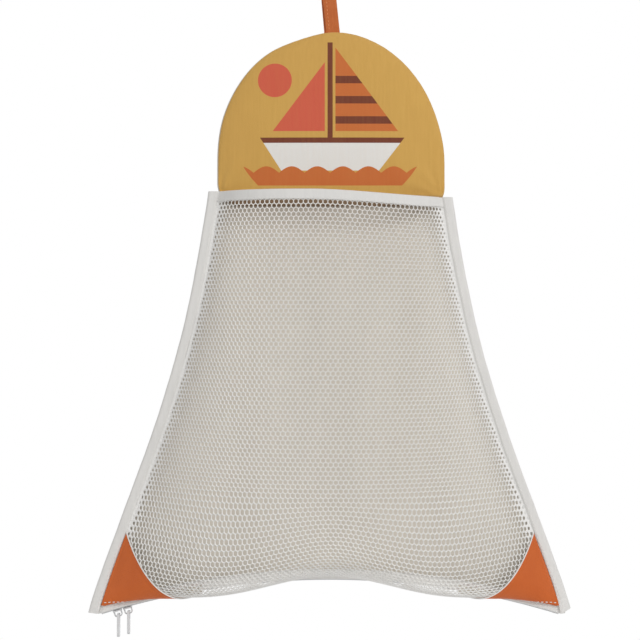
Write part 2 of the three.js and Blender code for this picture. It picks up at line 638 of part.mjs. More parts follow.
// Pull in its own frame: it hangs down -Z from its crossbar, whose middle is the origin
function pullTab() {
  const half = PULL_WIDTH / 2;
  const top = PULL_BAR / 2;
  const tip = top - PULL_LENGTH;
  const outline = new THREE.Shape();
  outline.moveTo(half, top);
  outline.lineTo(-half, top);
  outline.absarc(0, tip + half, half, Math.PI, 2 * Math.PI, false);
  outline.closePath();
  const windowHalf = half - PULL_ARM;
  const windowFoot = -top - CROWN_HEIGHT - CROWN_WALL;
  const window = block(
    new THREE.Vector3(-PULL_THICKNESS, -windowHalf, windowFoot),
    new THREE.Vector3(PULL_THICKNESS, windowHalf, top + GAP),
  );
  const bar = new THREE.CylinderGeometry(PULL_BAR / 2, PULL_BAR / 2, PULL_WIDTH - PULL_ARM, 16);
  const arms = toManifold(sidePlate(outline, PULL_THICKNESS, 8)).subtract(toManifold(window));
  return fromManifold(arms.add(toManifold(bar)));
}

// One slider on the arc with its pull hanging straight down from the crown
function addSlider(group, name, park) {
  const angle = Math.asin(park / ZIP_RADIUS);
  const carriage = new THREE.Group();
  carriage.position.set(0, ZIP_Y, ZIP_CENTRE);
  carriage.rotation.y = angle;
  const slider = piece(`${name}_slider`, sliderBody(), 'enamel');
  slider.position.z = ZIP_RADIUS;
  carriage.add(slider);
  const pull = piece(`${name}_pull`, pullTab(), 'enamel');
  pull.position.copy(onZip(angle * ZIP_RADIUS, ZIP_Y, -PIVOT_DEPTH));
  group.add(carriage, pull);
}

const organizer = new THREE.Group();
organizer.name = 'bath_toy_organizer';
organizer.add(
  piece('head_front_cover', headFrontCover(), 'gold'),
  piece('head_foam_core', headFoamCore(), 'foam'),
  piece('head_back_cover', headBackCover(), 'white'),
  piece('hanging_loop', hangingLoop(), 'orange'),
  piece('back_panel', backPanel(), 'cream'),
  piece('mesh_front', meshFront(), 'white'),
  piece('mouth_binding', mouthBinding(), 'white'),
  piece('zipper_front_tape', zipperTape(-1), 'white'),
  piece('zipper_back_tape', zipperTape(1), 'white'),
  piece('zipper_front_teeth', zipperTeeth(-1), 'white'),
  piece('zipper_back_teeth', zipperTeeth(1), 'white'),
);
for (const [name, side] of [['left', -1], ['right', 1]]) {
  organizer.add(
    piece(`${name}_side_binding`, sideBinding(side), 'white'),
    piece(`${name}_corner_patch`, cornerPatch(side), 'orange'),
    piece(`${name}_end_stop`, endStop(side), 'enamel'),
  );
}
addSlider(organizer, 'left', -SLIDER_PARK);
addSlider(organizer, 'right', -SLIDER_PARK + SLIDER_SPACING);

export default organizer;
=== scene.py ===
"""Looks of the hanging bath toy organizer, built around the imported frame.

Sizes below are the construction's own, in millimetres, in the frame's axes: X right, Y back to the
wall, Z up. Meshes are written in metres.
"""
import math

import bmesh
import bpy
import numpy as np
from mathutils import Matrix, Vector


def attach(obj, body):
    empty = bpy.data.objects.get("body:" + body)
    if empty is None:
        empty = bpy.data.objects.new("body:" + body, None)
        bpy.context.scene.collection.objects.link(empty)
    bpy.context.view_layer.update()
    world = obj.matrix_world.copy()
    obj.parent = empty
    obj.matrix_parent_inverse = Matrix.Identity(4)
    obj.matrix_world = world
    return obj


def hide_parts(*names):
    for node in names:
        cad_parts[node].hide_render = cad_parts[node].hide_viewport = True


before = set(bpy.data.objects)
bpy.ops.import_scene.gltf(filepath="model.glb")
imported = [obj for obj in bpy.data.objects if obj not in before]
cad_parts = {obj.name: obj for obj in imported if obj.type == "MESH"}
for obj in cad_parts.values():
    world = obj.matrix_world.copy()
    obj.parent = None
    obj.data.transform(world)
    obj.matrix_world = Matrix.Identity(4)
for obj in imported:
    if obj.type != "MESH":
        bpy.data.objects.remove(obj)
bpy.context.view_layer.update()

MM = 0.001
ROOT = "pouch"

# Construction sizes: cloth layers and bindings
CLOTH = 0.9
GAP = 0.3
BINDING_WIDTH = 9.5
EDGE_INSET = CLOTH + GAP
PANEL_Y = -CLOTH - GAP - CLOTH / 2
NET_THICKNESS = 0.9
MOUTH_LEG_FRONT = -3 * CLOTH - 2 * GAP
NET_EDGE_Y = MOUTH_LEG_FRONT - GAP - NET_THICKNESS / 2
NET_EDGE_FRONT = NET_EDGE_Y - NET_THICKNESS / 2

# Construction sizes: loop and head
STRAP_WIDTH = 14
STRAP_THICKNESS = 1.2
STRAP_TAIL = 12
LOOP_BEND_RADIUS = 5
HEAD_TOP = -60
HEAD_HEIGHT = 165
HEAD_BOTTOM = HEAD_TOP - HEAD_HEIGHT
HEAD_MIDDLE = (HEAD_TOP + HEAD_BOTTOM) / 2
HEAD_HALF_WIDTH = 107
HEAD_ARCH_HEIGHT = 124
HEAD_CORNER_RADII = {-1: 22, 1: 16}
HEAD_RIM = 2.6
HEAD_CROWN = 8.5

# Construction sizes: pouch
MOUTH_LAP = 14
MOUTH_TOP = HEAD_BOTTOM + MOUTH_LAP
NET_TOP = MOUTH_TOP - EDGE_INSET
MOUTH_HALF_WIDTH = 115
BOTTOM_HALF_WIDTH = 226
FLARE_STRAIGHT_SHARE = 0.54
MOUTH_BOW = 34
MOUTH_DIP = 5.5
MOUTH_DIP_SPAN = (-20, 90)
MOUTH_DIP_REACH = 0.4
BELLY_DEPTH = 86
MOUTH_FULLNESS = 4
BELLY_FULLNESS = 2.3
EDGE_EASE = 0.03
SEAM_RAMP = 70
CENTRE_SAG = 2
SIDE_SAG = 11

# Construction sizes: patches
PATCH_WIDTH = 96
PATCH_HEIGHT = 70
PATCH_THICKNESS = 1.1
PATCH_CURVE = 1.6
PATCH_TIP_HEIGHT = 2.5
PATCH_HEM_SHARE = 0.03

# Construction sizes: zipper
ZIP_DROP = 365
ZIP_MIDDLE = MOUTH_TOP - ZIP_DROP
ZIP_HALF_SPAN = 223
ZIP_SAGITTA = 35
ZIP_RADIUS = (ZIP_HALF_SPAN ** 2 + ZIP_SAGITTA ** 2) / (2 * ZIP_SAGITTA)
ZIP_CENTRE = ZIP_MIDDLE - ZIP_RADIUS
TAPE_HALF_WIDTH = 5.6
TAPE_WALL = 8
CHAIN_HALF_WIDTH = 1.9
ZIP_Y = -2 * CLOTH - 2 * GAP - TAPE_HALF_WIDTH
TAPE_FRONT = ZIP_Y - TAPE_HALF_WIDTH
NET_LIFT = TAPE_WALL + GAP
KNEE_RISE = 86
KNEE_TOP = ZIP_MIDDLE + KNEE_RISE


def zip_height(x):
    """Height of the zipper's arc at x."""
    return ZIP_CENTRE + np.sqrt(ZIP_RADIUS ** 2 - x ** 2)


def seam_height(x):
    """Height of the net's seam on the zipper at x."""
    return zip_height(x) + NET_LIFT


POUCH_BOTTOM = seam_height(BOTTOM_HALF_WIDTH - EDGE_INSET)
BINDING_END_INSET = 7
BINDING_END_RISE = 0.6
BINDING_END = zip_height(ZIP_HALF_SPAN - BINDING_END_INSET) + BINDING_END_RISE
BINDING_SLANTS = {-1: 0.12, 1: 0.55}
TAPE_END_LIFT = 2
TAPE_END_REACH = 4
TAPE_END_TRIM = 3
NUDGE = 1e-3
SEAM_STEP = NET_EDGE_Y - (TAPE_FRONT - GAP - NET_THICKNESS)


def lerp(a, b, share):
    return a + (b - a) * share


def unit(vectors):
    return vectors / np.linalg.norm(vectors, axis=-1, keepdims=True)


def smooth(value):
    share = np.clip(value, 0, 1)
    return share * share * (3 - 2 * share)


def half_width(share):
    """Half width of the pouch, 0 at the mouth and 1 at the bottom."""
    curved = 3 * share ** 3 - 2 * share ** 4
    flare = lerp(curved, share, FLARE_STRAIGHT_SHARE)
    return MOUTH_HALF_WIDTH + (BOTTOM_HALF_WIDTH - MOUTH_HALF_WIDTH) * flare


def side_share(z):
    return (MOUTH_TOP - z) / (MOUTH_TOP - POUCH_BOTTOM)


def edge_step(x, z):
    """How far the sewn edge comes forward to meet the zipper's front tape."""
    return SEAM_STEP * smooth((seam_height(x) + SEAM_RAMP - z) / SEAM_RAMP)


def mouth_dip(x):
    """How far the mouth's edge hangs below its own line: it slants a little to the right."""
    start, end = MOUTH_DIP_SPAN
    return MOUTH_DIP * smooth((x - start) / (end - start))


def net_point(across, down):
    """The net's surface: across -1 to 1 free and to -2 and 2 inside the bindings, down 0 to 1 to 2."""
    wall = np.clip(down, 0, 1)
    floor = np.clip(down - 1, 0, 1)
    bag = np.clip(across, -1, 1)
    bound = BINDING_WIDTH + GAP

    def spread(outer):
        return bag * (outer - bound) + (across - bag) * (bound - EDGE_INSET)

    wall_z = lerp(NET_TOP, KNEE_TOP, wall)
    edge_z = wall_z - (KNEE_TOP - POUCH_BOTTOM) * np.sin(floor * math.pi / 2)
    seam = seam_height(spread(BOTTOM_HALF_WIDTH))
    sag = (CENTRE_SAG + SIDE_SAG * np.sin(math.pi * bag) ** 2) * (1 - bag ** 4)
    fall = KNEE_TOP - seam + sag
    turn = math.pi - np.arcsin((KNEE_TOP - seam) / fall)
    close = (np.cos(floor * turn) - np.cos(turn)) / (1 - np.cos(turn))
    depth = lerp(MOUTH_BOW, BELLY_DEPTH, smooth(wall)) * close
    inward = 1 - np.abs(bag)
    swing = 1 - inward ** 2 / (inward + EDGE_EASE)
    fullness = 1 - swing ** lerp(MOUTH_FULLNESS, BELLY_FULLNESS, wall)
    x = spread(half_width(side_share(edge_z)))
    z = wall_z - fall * np.sin(floor * turn) - mouth_dip(x) * (1 - smooth(wall / MOUTH_DIP_REACH))
    return np.stack([x, NET_EDGE_Y - edge_step(x, z) - depth * fullness, z], axis=-1)


def net_normal(across, down):
    """Outward normal of the net."""
    left, right = np.maximum(across - NUDGE, -2), np.minimum(across + NUDGE, 2)
    above, below = np.maximum(down - NUDGE, 0), np.minimum(down + NUDGE, 2)
    along_row = net_point(right, down) - net_point(left, down)
    along_drop = net_point(across, below) - net_point(across, above)
    return unit(np.cross(along_drop, along_row))


def net_offset(across, down, distance):
    return net_point(across, down) + net_normal(across, down) * np.asarray(distance)[..., None]


# Lines and meshes
SMOOTH_ANGLE = 50
ROUND_ANGLE = 80
PIPING_RADIUS = 0.6
PIPING_SIDES = 8
STITCH_SIDES = 6
STITCH_PROFILE = [(0, 0.3, -0.9), (0.14, 0.85, -0.1), (0.5, 1, 0.25), (0.86, 0.85, -0.1), (1, 0.3, -0.9)]
SWAY_WAVES = [(1.0, 17, 1.0), (0.6, 6.1, 2.3), (0.4, 2.9, 0.0)]


def arc_length(line):
    """Length along a line of points, from 0 at the first."""
    return np.concatenate([[0], np.cumsum(np.linalg.norm(np.diff(line, axis=0), axis=1))])


def arc(centre, radius, start, end, count):
    turns = np.linspace(math.radians(start), math.radians(end), count)
    return [(centre[0] + radius * math.cos(t), centre[1] + radius * math.sin(t)) for t in turns]


def run(first, start, end, count):
    """Points with one first value, evenly spaced in their second."""
    return [(first, second) for second in np.linspace(start, end, count)]


def sway(along, size, seed):
    """A small uneven wave along a sewn edge."""
    return size * sum(share * np.sin(along / reach + turn * seed) for share, reach, turn in SWAY_WAVES)


def make_object(name, points, faces):
    """A new piece from points in millimetres."""
    mesh = bpy.data.meshes.new(name)
    mesh.from_pydata([tuple(p) for p in np.asarray(points, float) * MM], [], faces)
    mesh.update()
    piece = bpy.data.objects.new(name, mesh)
    bpy.context.scene.collection.objects.link(piece)
    clean(mesh)
    return piece


def clean(mesh):
    """Turns every face outward and removes points that no face uses."""
    work = bmesh.new()
    work.from_mesh(mesh)
    bmesh.ops.recalc_face_normals(work, faces=work.faces)
    bmesh.ops.delete(work, geom=[v for v in work.verts if not v.link_faces], context="VERTS")
    work.to_mesh(mesh)
    work.free()


def shade_smooth(piece, angle):
    piece.data.shade_smooth()
    piece.data.set_sharp_from_angle(angle=math.radians(angle))


def grid_faces(rows, columns, start=0, wrap=False):
    """Quads of a grid of points stored row by row."""
    last = columns if wrap else columns - 1
    faces = []
    for r in range(rows - 1):
        for c in range(last):
            n = (c + 1) % columns
            a = start + r * columns
            faces.append((a + c, a + n, a + columns + n, a + columns + c))
    return faces


def shell(name, outer, inner):
    """A thin closed body between two grids of equal size."""
    rows, columns = outer.shape[:2]
    count = rows * columns
    faces = grid_faces(rows, columns) + grid_faces(rows, columns, count)
    index = np.arange(count).reshape(rows, columns)
    border = np.concatenate([index[0], index[1:, -1], index[-1, -2::-1], index[-2:0:-1, 0]]).tolist()
    for a, b in zip(border, border[1:] + border[:1]):
        faces.append((a, b, b + count, a + count))
    return make_object(name, np.concatenate([outer, inner]).reshape(-1, 3), faces)


def sweep(name, rings):
    """A closed body through rings of equal count, with flat ends."""
    rings = np.asarray(rings)
    rows, columns = rings.shape[:2]
    faces = grid_faces(rows, columns, 0, True)
    faces.append(tuple(range(columns - 1, -1, -1)))
    faces.append(tuple(range((rows - 1) * columns, rows * columns)))
    return make_object(name, rings.reshape(-1, 3), faces)


def sew(name, path, facing, stitch, thread):
    """A row of stitches of a length, gap and radius along a path, on the side that it faces."""
    length, gap, radius = stitch
    path = np.asarray(path, float)
    normals = np.broadcast_to(np.asarray(facing, float), path.shape)
    along = arc_length(path)
    count = max(1, int(along[-1] // (length + gap)))
    pitch = along[-1] / count
    turns = [2 * math.pi * k / STITCH_SIDES for k in range(STITCH_SIDES)]
    points = []
    faces = []

    def sample(values, at):
        return np.array([np.interp(at, along, line) for line in values.T])

    for n in range(count):
        start = n * pitch + gap / 2
        base = len(points)
        tangent = unit(sample(path, start + length) - sample(path, start))
        up = sample(normals, start + length / 2)
        up = unit(up - tangent * up.dot(tangent))
        side = np.cross(tangent, up)
        for share, swell, lift in STITCH_PROFILE:
            centre = sample(path, start + length * share) + up * lift * radius
            for turn in turns:
                points.append(centre + swell * radius * (side * math.cos(turn) + up * math.sin(turn)))
        faces += grid_faces(len(STITCH_PROFILE), STITCH_SIDES, base, True)
        faces.append(tuple(range(base + STITCH_SIDES - 1, base - 1, -1)))
        faces.append(tuple(range(len(points) - STITCH_SIDES, len(points))))
    dress(make_object(name, points, faces), thread, "white_tape", angle=ROUND_ANGLE)


def pipe(name, line, aside, thread):
    """A round cord along a line of points that nowhere runs along the axis given as aside."""
    along = unit(np.gradient(line, axis=0))
    first = unit(np.cross(along, aside))
    second = np.cross(along, first)
    turns = np.linspace(0, 2 * math.pi, PIPING_SIDES, endpoint=False)[None, :, None]
    spokes = np.cos(turns) * first[:, None] + np.sin(turns) * second[:, None]
    cord = sweep(name, line[:, None] + PIPING_RADIUS * spokes)
    dress(cord, thread, "white_tape", angle=ROUND_ANGLE)


def dress(piece, material, slot, *nodes, angle=SMOOTH_ANGLE):
    """Gives a piece its shading, material and body, and hides the frame nodes that it stands for; the
    slot is not used.
    """
    shade_smooth(piece, angle)
    piece.data.materials.append(material)
    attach(piece, ROOT)
    if nodes:
        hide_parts(*nodes)
    return piece


# Materials
def linear(red, green, blue):
    """A colour given in display values of 0 to 255, as the shader takes it."""
    values = [c / 255 for c in (red, green, blue)]
    return tuple(c / 12.92 if c <= 0.04045 else ((c + 0.055) / 1.055) ** 2.4 for c in values) + (1,)


GOLD = linear(222, 176, 92)
GOLD_DEEP = linear(206, 158, 76)
ORANGE = linear(216, 121, 60)
ORANGE_DEEP = linear(186, 91, 38)
ORANGE_LIGHT = linear(238, 168, 112)
LEATHER = linear(212, 108, 48)
LEATHER_DEEP = linear(194, 92, 38)
LEATHER_GLOSS = 0.25
# Painted shade: the colour that the head's bottom edge darkens to
GOLD_SHADOW = linear(130, 108, 86)
# Painted shade: the colour that the back panel's front face darkens to below the mouth
CREAM_PAINTED_SHADE = linear(140, 130, 118)
INK_ORANGE = linear(206, 108, 50)
CORAL = linear(216, 92, 70)
BROWN = linear(110, 42, 28)
WHITE = linear(240, 238, 234)
WHITE_SHADE = linear(222, 220, 217)
CREAM = linear(236, 230, 219)
CREAM_SHADE = linear(222, 214, 202)
NET_WHITE = linear(246, 245, 243)
ENAMEL = linear(232, 232, 232)
ENAMEL_WORN = linear(205, 206, 208)
FOAM = linear(232, 226, 200)
THREAD = linear(246, 244, 240)
CLOTH_MATT = 0.85
CLOTH_ROUGHNESS = (0.78, 0.95)
CLOTH_SHEEN = 0.15
CLOUD_SCALE = 28
STREAK_SCALE = 420
STREAK_STRETCH = (1, 1, 0.06)
WOVEN_SHARES = (0.5, 0.5)
WOVEN_DEPTHS = (0.12, 0.10)
CLOTH_PITCH = 0.8
BACKING_PITCH = 0.7
TAPE_PITCH = 1.0
CANVAS_PITCH = 0.9
CANVAS_SHARES = (0.45, 0.6)
CANVAS_DEPTHS = (0.16, 0.18)
INK_WEAR = 0.10
WEBBING_SHARES = (0.35, 0.65)
WEBBING_PITCHES = (1.1, 1.4)
WEBBING_CLOUD = (60, 4)
WEBBING_DEPTH = 0.25
WEBBING_SHEEN = 0.2
LEATHER_CLOUD = (40, 4)
LEATHER_GRAIN = 900
LEATHER_DENTS = (140, 3)
LEATHER_DEPTHS = (0.18, 0.15)
LEATHER_ROUGHNESS = (0.36, 0.62)
ENAMEL_WEAR = (700, 4)
ENAMEL_DENTS = (400, 3)
ENAMEL_DEPTH = 0.03
ENAMEL_ROUGHNESS = (0.22, 0.42)
THREAD_TWIST = (2200, 2)


class Nodes:
    """Adds nodes to one tree."""

    def __init__(self, tree):
        self.tree = tree

    def join(self, source, target):
        """Links a socket to its source, or sets it to a plain value."""
        if hasattr(source, "is_output"):
            self.tree.links.new(source, target)
        else:
            target.default_value = source

    def add(self, kind, sockets=None, **settings):
        """A node with its settings, whose sockets are joined to their sources."""
        node = self.tree.nodes.new(kind)
        for key, value in settings.items():
            setattr(node, key, value)
        for key, source in (sockets or {}).items():
            self.join(source, node.inputs[key])
        return node

    def math(self, operation, *values):
        return self.add("ShaderNodeMath", dict(enumerate(values)), operation=operation).outputs[0]

    def times(self, first, second):
        return self.math("MULTIPLY", first, second)


class Shader(Nodes):
    """Builds one node material: a principled surface with colour, roughness and bump from nodes."""

    def __init__(self, name, roughness=CLOTH_MATT):
        self.material = bpy.data.materials.new(name)
        self.material.use_nodes = True
        super().__init__(self.material.node_tree)
        self.surface = self.tree.nodes["Principled BSDF"]
        self.finish("Roughness", roughness)
        self.place = self.add("ShaderNodeTexCoord").outputs["Object"]
        self.x, _, self.z = self.add("ShaderNodeSeparateXYZ", {0: self.place}).outputs

    def finish(self, label, source):
        """Joins a socket of the surface itself."""
        self.join(source, self.surface.inputs[label])

    def noise(self, scale, detail, stretch=(1, 1, 1)):
        """Cloudy noise, scaled apart along the three axes."""
        place = self.add("ShaderNodeVectorMath", {0: self.place, 1: stretch}, operation="MULTIPLY")
        sockets = {"Vector": place.outputs[0], "Scale": scale, "Detail": detail}
        return self.add("ShaderNodeTexNoise", sockets).outputs["Fac"]

    def cells(self, scale):
        sockets = {"Vector": self.place, "Scale": scale}
        return self.add("ShaderNodeTexVoronoi", sockets, feature="SMOOTH_F1").outputs["Distance"]

    def threads(self, axis, pitch):
        """Rows of thread across an axis, 0 to 1, one to each pitch in millimetres."""
        wave = self.math("SINE", self.times(axis, 2 * math.pi / (pitch * MM)))
        return self.math("MULTIPLY_ADD", wave, 0.5, 0.5)

    def tone(self, first, second, shares):
        """Two patterns added up, each times its share."""
        return self.math("MULTIPLY_ADD", first, shares[0], self.times(second, shares[1]))

    def mix(self, share, first, second):
        sockets = {"Factor": share, 6: first, 7: second}
        return self.add("ShaderNodeMix", sockets, data_type="RGBA").outputs[2]

    def colour(self, source):
        self.finish("Base Color", source)

    def sheen(self, weight):
        self.finish("Sheen Weight", weight)

    def rough(self, source, low, high):
        sockets = {"Value": source, "To Min": low, "To Max": high}
        self.finish("Roughness", self.add("ShaderNodeMapRange", sockets).outputs[0])

    def bump(self, height, depth):
        """Bump of a depth in millimetres, on top of any bump before it."""
        sockets = {"Distance": depth * MM, "Height": height}
        before = self.surface.inputs["Normal"].links
        if before:
            sockets["Normal"] = before[0].from_socket
        self.finish("Normal", self.add("ShaderNodeBump", sockets).outputs[0])

    def fade(self, start, end, most):
        """Nothing at the first height and beyond it, growing to its most at the second."""
        sockets = {"Value": self.z, "From Min": start * MM, "From Max": end * MM, "To Max": most}
        return self.add("ShaderNodeMapRange", sockets, interpolation_type="SMOOTHSTEP").outputs[0]

    def cloth(self, pitch, shares, depths):
        """Threads, slubs and nap of plain weave; gives the dye's tone and its streaks."""
        weave = self.times(self.threads(self.x, pitch), self.threads(self.z, pitch))
        cloud = self.noise(CLOUD_SCALE, 4)
        streak = self.noise(STREAK_SCALE, 2, STREAK_STRETCH)
        self.rough(cloud, *CLOTH_ROUGHNESS)
        self.bump(weave, depths[0])
        self.bump(streak, depths[1])
        self.sheen(CLOTH_SHEEN)
        return self.tone(cloud, streak, shares), streak


def woven(name, light, deep, pitch, painted_shade=None):
    """Plain cloth with uneven dye; where heights are given, a painted shade darkens its inner face over
    them.
    """
    shader = Shader(name)
    tone, _ = shader.cloth(pitch, WOVEN_SHARES, WOVEN_DEPTHS)
    colour = shader.mix(tone, deep, light)
    if painted_shade:
        normal = shader.add("ShaderNodeNewGeometry").outputs["Normal"]
        facing = shader.add("ShaderNodeSeparateXYZ", {0: normal})
        inner = shader.math("LESS_THAN", facing.outputs["Y"], 0.0)
        # Painted shade on the inner face, over the given heights
        colour = shader.mix(shader.times(inner, shader.fade(*painted_shade)), colour, CREAM_PAINTED_SHADE)
    shader.colour(colour)
    return shader.material


def plain(name, roughness, tones, depth, noise=None, cells=None, spread=0, sheen=0):
    """A material whose tone, roughness and relief follow one noise, or cells of one scale."""
    shader = Shader(name, roughness)
    pattern = shader.noise(*noise) if noise else shader.cells(cells)
    shader.colour(shader.mix(pattern, *tones))
    if spread:
        shader.rough(pattern, roughness - spread, roughness + spread)
    shader.bump(pattern, depth)
    shader.sheen(sheen)
    return shader.material


def leatherette():
    shader = Shader("orange_leatherette", 0.5)
    shader.finish("Specular IOR Level", LEATHER_GLOSS)
    grain = shader.cells(LEATHER_GRAIN)
    shader.colour(shader.mix(shader.noise(*LEATHER_CLOUD), LEATHER_DEEP, LEATHER))
    shader.rough(grain, *LEATHER_ROUGHNESS)
    shader.bump(grain, LEATHER_DEPTHS[0])
    shader.bump(shader.noise(*LEATHER_DENTS), LEATHER_DEPTHS[1])
    return shader.material


def webbing():
    shader = Shader("orange_webbing")
    ribs = shader.threads(shader.z, WEBBING_PITCHES[0])
    cords = shader.threads(shader.x, WEBBING_PITCHES[1])
    tone = shader.tone(ribs, shader.noise(*WEBBING_CLOUD), WEBBING_SHARES)
    shader.colour(shader.mix(tone, ORANGE_DEEP, ORANGE))
    shader.bump(shader.times(ribs, cords), WEBBING_DEPTH)
    shader.sheen(WEBBING_SHEEN)
    return shader.material


def enamel():
    shader = Shader("white_enamel", 0.3)
    wear = shader.noise(*ENAMEL_WEAR)
    shader.colour(shader.mix(wear, ENAMEL_WORN, ENAMEL))
    shader.rough(wear, *ENAMEL_ROUGHNESS)
    shader.bump(shader.noise(*ENAMEL_DENTS), ENAMEL_DEPTH)
    return shader.material


# Print on the head: a sail boat on waves under a sun, in flat colours on the gold ground
BOAT_MAIN_SAIL = [(5, -76), (5, -155), (64, -155)]
BOAT_JIB = [(-5, -90), (-54, -155), (-5, -155)]
BOAT_MAST = [(-2.4, -71), (-2.4, -162), (2.4, -162), (2.4, -71)]
BOAT_HULL = [(-66, -161), (-46, -192), (46, -192), (70, -161)]
SAIL_STRIPES = [(-103, -110), (-122, -129), (-141, -148)]
HULL_RIM = (-161, -166)
SUN_CENTRE = (-52, -107)
SUN_RADIUS = 16
WAVE_LINE = -194
WAVE_HEIGHT = 6
WAVE_LENGTH = 24
WAVE_BOTTOM = -206
SEA_CENTRE = (0, -138)
SEA_RADIUS = 96
# Painted shade: heights over which the head's print darkens to its bottom edge, under the mouth's tape
HEM_SHADE = (-213, -220, 0.97)
# Painted shade: heights over which the back panel's front face darkens below the mouth's tape, most at
# the top
MOUTH_SHADE = (-252, -218, 0.5)


class Print(Shader):
    """Flat printed shapes, as masks of 0 and 1 over x and z in millimetres."""

    def half_plane(self, start, end):
        """Distance to the left of a line, positive inside."""
        dx, dz = end[0] - start[0], end[1] - start[1]
        size = math.hypot(dx, dz)
        nx, nz = -dz / size, dx / size
        offset = -(nx * start[0] + nz * start[1])
        partial = self.math("MULTIPLY_ADD", self.z, nz / MM, offset)
        return self.math("MULTIPLY_ADD", self.x, nx / MM, partial)

    def polygon(self, corners):
        inside = self.half_plane(corners[-1], corners[0])
        for start, end in zip(corners, corners[1:]):
            inside = self.math("MINIMUM", inside, self.half_plane(start, end))
        return self.math("GREATER_THAN", inside, 0.0)

    def disc(self, centre, radius):
        dx = self.math("MULTIPLY_ADD", self.x, 1 / MM, -centre[0])
        dz = self.math("MULTIPLY_ADD", self.z, 1 / MM, -centre[1])
        away = self.math("SQRT", self.math("MULTIPLY_ADD", dx, dx, self.times(dz, dz)))
        return self.math("LESS_THAN", away, radius)

    def band(self, top, bottom):
        below = self.math("LESS_THAN", self.z, top * MM)
        return self.times(below, self.math("GREATER_THAN", self.z, bottom * MM))

    def waves(self, line, height, length):
        """Everything below a row of scallops."""
        turn = self.times(self.x, math.pi / (length * MM))
        crest = self.math("ABSOLUTE", self.math("SINE", turn))
        top = self.math("MULTIPLY_ADD", crest, height * MM, line * MM)
        return self.math("LESS_THAN", self.z, top)


def printed_canvas():
    """Gold slub canvas with the print dyed into the same threads, and a painted shade along the head's
    bottom edge.
    """
    shader = Print("gold_canvas")
    tone, streak = shader.cloth(CANVAS_PITCH, CANVAS_SHARES, CANVAS_DEPTHS)
    colour = shader.mix(tone, GOLD_DEEP, GOLD)
    sail = shader.polygon(BOAT_MAIN_SAIL)
    hull = shader.polygon(BOAT_HULL)
    waves = shader.waves(WAVE_LINE, WAVE_HEIGHT, WAVE_LENGTH)
    sea = shader.times(waves, shader.disc(SEA_CENTRE, SEA_RADIUS))
    sea = shader.times(sea, shader.band(0, WAVE_BOTTOM))
    layers = [
        (shader.disc(SUN_CENTRE, SUN_RADIUS), CORAL),
        (sail, INK_ORANGE),
        *[(shader.times(sail, shader.band(*stripe)), BROWN) for stripe in SAIL_STRIPES],
        (shader.polygon(BOAT_JIB), CORAL),
        (shader.polygon(BOAT_MAST), BROWN),
        (hull, WHITE),
        (shader.times(hull, shader.band(*HULL_RIM)), BROWN),
        (sea, INK_ORANGE),
    ]
    for mask, ink in layers:
        faded = shader.mix(shader.times(streak, INK_WEAR), ink, GOLD)
        colour = shader.mix(mask, colour, faded)
    # Painted shade: the canvas darkens towards the head's bottom edge, below the mouth's tape
    shader.colour(shader.mix(shader.fade(*HEM_SHADE), colour, GOLD_SHADOW))
    return shader.material


# Pieces: padded head
HEAD_SEGMENTS = 220
HEAD_ARC_STEPS = 80
HEAD_TURNS = np.arange(HEAD_SEGMENTS) / HEAD_SEGMENTS * 2 * math.pi
SHOULDER_DROP = 3.2
SHOULDER_X = -30
SHOULDER_REACH = 26
FOOT_SHIFT = 1.3
FOOT_SHIFT_TOP = -135
FOOT_SHIFT_DROP = 50
HEAD_RIM_Y = -CLOTH - GAP
SEAM_ROLL = (0.996, 0.2)
CROWN_SHARES = 1 - np.linspace(0.02, 0.97, 34) ** 1.8
PUCKER_COUNT = 64
PUCKER_DRIFT = (0.6, 23)
PUCKER_DEPTH = 0.35
PUCKER_REACH = 0.05
CREASE_X = 104
CREASE_Z = -214
CREASE_REACH = 30
CREASE_DEPTH = 0.8
CREASE_COUNT = 11
CREASE_TURN = 1.2
FOAM_INSET = CLOTH + 0.4
FOAM_BACK = PANEL_Y - CLOTH / 2 - GAP
FOAM_SLOT = (10, HEAD_TOP - STRAP_TAIL - 2, -4.2)
HEAD_BACK_SHIFT = -0.8
HEAD_BACK_PUCKER = 0.35
SEAM_SHARE = 0.965
SEAM_SINK = 0.3
HEAD_BACK_LINING = [(0.02, 1), (0.5, 1), (0.9, 1), (0.985, 1), (1.0, 0.8), (1.003, 0.4)]
HEAD_BACK_FACE = [(0.998, 0.05), (0.988, 0.02), (0.974, 0.14), (SEAM_SHARE, SEAM_SINK), (0.956, 0.14)]
HEAD_BACK_FACE += [(0.935, 0.04), (0.9, 0.02), (0.5, 0.02), (0.02, 0.02)]
HEAD_STITCH = (2.8, 1.4, 0.3)
STITCH_LIFT = 0.1


def head_outline(count):
    """Evenly spaced points of the head's outline, from its lower right side round over the top."""
    arch = HEAD_TOP - HEAD_ARCH_HEIGHT
    arcs = [((0, arch), (HEAD_HALF_WIDTH, HEAD_ARCH_HEIGHT), 0, math.pi)]
    for side, start in ((-1, math.pi), (1, 1.5 * math.pi)):
        bend = HEAD_CORNER_RADII[side]
        centre = (side * (HEAD_HALF_WIDTH - bend), HEAD_BOTTOM + bend)
        arcs.append((centre, (bend, bend), start, start + math.pi / 2))
    fine = []
    for (cx, cz), (wide, tall), start, end in arcs:
        for turn in np.linspace(start, end, HEAD_ARC_STEPS):
            fine.append((cx + wide * math.cos(turn), cz + tall * math.sin(turn)))
    fine = np.array(fine + fine[:1])
    upper = smooth((fine[:, 1] - arch) / SHOULDER_REACH)
    fine[:, 1] -= SHOULDER_DROP * upper * np.exp(-((fine[:, 0] - SHOULDER_X) / SHOULDER_REACH) ** 2)
    fine[:, 0] += FOOT_SHIFT * smooth((FOOT_SHIFT_TOP - fine[:, 1]) / FOOT_SHIFT_DROP)
    along = arc_length(fine)
    at = np.arange(count) * along[-1] / count
    return np.stack([np.interp(at, along, line) for line in fine.T], axis=-1)


